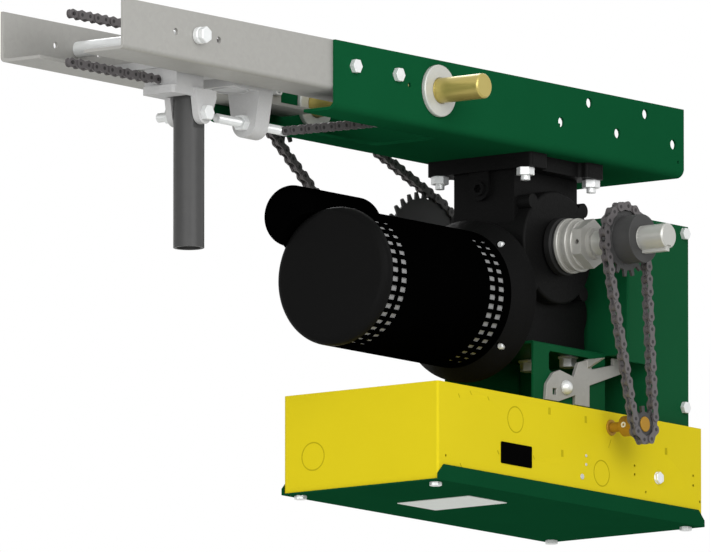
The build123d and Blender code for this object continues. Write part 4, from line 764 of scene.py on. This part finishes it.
# Bare plates: a black one on the front, a silver one under the cover
frontPlate = {"spot": (278, -389), "size": (51.8, 22.0, 0.8), "corner": 1.5, "edge": 0.25}
coverPlate = {"spot": (292.5, -5.5), "size": (65.0, 91.0, 0.8), "corner": 2.0, "edge": 0.25}
plate = moveTo(slab(*frontPlate["size"], frontPlate["corner"]), onFace(frontFace, *frontPlate["spot"]))
roundEdges(addPiece("frontPlate", plate, [blackPlate], "frame"), frontPlate["edge"])
spot = at(*coverPlate["spot"], 0)
spot.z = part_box("box_cover")[0].z - coverPlate["size"][2] * mm
plate = moveTo(slab(*coverPlate["size"], coverPlate["corner"]), Matrix.Translation(spot))
roundEdges(addPiece("coverPlate", plate, [bareAluminium], "frame"), coverPlate["edge"])

# Box front bolt with its washer face
boxBolt = {"spot": (517, -386.5), "flats": 11.0, "thick": 4.0, "washer": 6.4, "washerThick": 1.0,
           "edge": 0.5}
bolt = hexHead(boxBolt["flats"], boxBolt["thick"])
joinInto(bolt, prism(boxBolt["washer"], boxBolt["washerThick"], sides=32), Matrix())
moveTo(bolt, onFace(frontFace, *boxBolt["spot"]))
roundEdges(addPiece("boxBolt", bolt, [finish["zinc_steel"]], "frame"), boxBolt["edge"])

# Brass hub, bush and shaft of the limit sprocket, and the hub's two socket screws
for node in ("limit_hub", "limit_bush", "limit_shaft"):
    dressNode(node, finish["brass"])
hubScrews = {"size": 5.6, "proud": 0.7, "seated": 2.0, "socket": 2.8, "socketFloor": 1.0, "fromEnd": 7.0}
hubLow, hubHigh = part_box("limit_hub")
hubAt = Vector((limitAt.x, hubHigh.y - hubScrews["fromEnd"] * mm, limitAt.z))
hubRadius = (hubHigh.z - hubLow.z) / 2
outer, inner = hubScrews["size"] / 2, hubScrews["socket"] / 2
top = hubScrews["seated"] + hubScrews["proud"]
profile = [(0, 0), (0, outer), (top, outer), (top, inner), (hubScrews["socketFloor"], inner),
           (hubScrews["socketFloor"], 0)]
screws = bmesh.new()
for way in (toLeft, up):
    seat = hubAt + Vector(way) * (hubRadius - hubScrews["seated"] * mm)
    joinInto(screws, lathe(profile, segments=24), axisMatrix(seat, way))
addPiece("hubScrews", screws, [finish["zinc_steel"]], "limit")
print("control box dressed")

# Studio: pale floor below the hanging part, soft lamps, white surround; lengths in metres
studio = {"floorDrop": 1.2, "floorSize": 5.0, "floorGlow": 0.38, "ambient": 0.5}
floorShape = bmesh.new()
floorAt = ((cadLow.x + cadHigh.x) / 2, midPlane, cadLow.z - studio["floorDrop"])
bmesh.ops.create_grid(floorShape, x_segments=1, y_segments=1, size=studio["floorSize"],
                      matrix=Matrix.Translation(floorAt))
floorMaterial, tree, floorShader, _ = newMaterial("paleFloor", Roughness=0.9, Specular_IOR_Level=0.0)
floorShader.inputs["Base Color"].default_value = linear("#efefec")
floorShader.inputs["Emission Color"].default_value = (1, 1, 1, 1)
rays = addNode(tree, "ShaderNodeLightPath").outputs
glow = addNode(tree, "ShaderNodeMath", {0: rays["Is Camera Ray"], 1: studio["floorGlow"]},
               operation="MULTIPLY")
tree.links.new(glow.outputs[0], floorShader.inputs["Emission Strength"])  # pale to the camera, shadow kept
underside = addNode(tree, "ShaderNodeNewGeometry").outputs["Backfacing"]
clear = addNode(tree, "ShaderNodeBsdfTransparent").outputs[0]
shown = addNode(tree, "ShaderNodeMixShader", {0: underside, 1: floorShader.outputs[0], 2: clear})
tree.links.new(shown.outputs[0], tree.nodes["Material Output"].inputs["Surface"])  # clear seen from below
floorMesh = asMesh(floorShape, "floor")
floorMesh.materials.append(floorMaterial)
floor = bpy.data.objects.new("floor", floorMesh)
scene.collection.objects.link(floor)

world = bpy.data.worlds.new("studioWorld")
scene.world = world
world.use_nodes = True
tree = world.node_tree
rays = addNode(tree, "ShaderNodeLightPath").outputs
seen = addNode(tree, "ShaderNodeMath", {0: rays["Is Camera Ray"], 1: rays["Is Glossy Ray"]},
               operation="MAXIMUM")
seen = addNode(tree, "ShaderNodeMath", {0: seen.outputs[0], 1: rays["Is Transmission Ray"]},
               operation="MAXIMUM")
level = addNode(tree, "ShaderNodeMath", {0: seen.outputs[0], 1: 1 - studio["ambient"], 2: studio["ambient"]},
                operation="MULTIPLY_ADD")  # white where it is seen, ambient where it lights
surround = tree.nodes["Background"]
surround.inputs["Color"].default_value = (1, 1, 1, 1)
tree.links.new(level.outputs[0], surround.inputs["Strength"])

# Long lens from below and in front, at the photo's angle; target in mm, way is where it looks
lens = {"target": (142.61, 2.93, -214.70), "way": (0.78923, 0.59710, 0.14351), "distance": 25.0,
        "scale": 0.9978, "frameWide": 711}
viewSpot = at(*lens["target"])
viewWay = Vector(lens["way"]).normalized()
cameraData = bpy.data.cameras.new("camera")
cameraData.sensor_fit = "HORIZONTAL"
cameraData.lens = cameraData.sensor_width * lens["distance"] / (lens["frameWide"] / lens["scale"] * mm)
cameraData.clip_end = 2 * lens["distance"]
camera = bpy.data.objects.new("camera", cameraData)
scene.collection.objects.link(camera)
camera.location = viewSpot - viewWay * lens["distance"]
camera.rotation_euler = viewWay.to_track_quat("-Z", "Y").to_euler()
scene.camera = camera

# Lamps aimed at the view's target, each at its offset from it
lamps = {"key": {"offset": (-1.1, -2.4, 0.9), "size": 2.2, "watts": 42},
         "fill": {"offset": (-2.5, -0.8, 0.2), "size": 2.2, "watts": 27},
         "back": {"offset": (1.6, 2.0, 1.6), "size": 1.8, "watts": 28}}
for name, setting in lamps.items():
    lampData = bpy.data.lights.new(name, "AREA")
    lampData.shape = "DISK"
    lampData.size = setting["size"]
    lampData.energy = setting["watts"]
    lamp = bpy.data.objects.new(name, lampData)
    scene.collection.objects.link(lamp)
    offset = Vector(setting["offset"])
    lamp.location = viewSpot + offset
    lamp.rotation_euler = (-offset).to_track_quat("-Z", "Y").to_euler()
scene.view_settings.view_transform = "Standard"
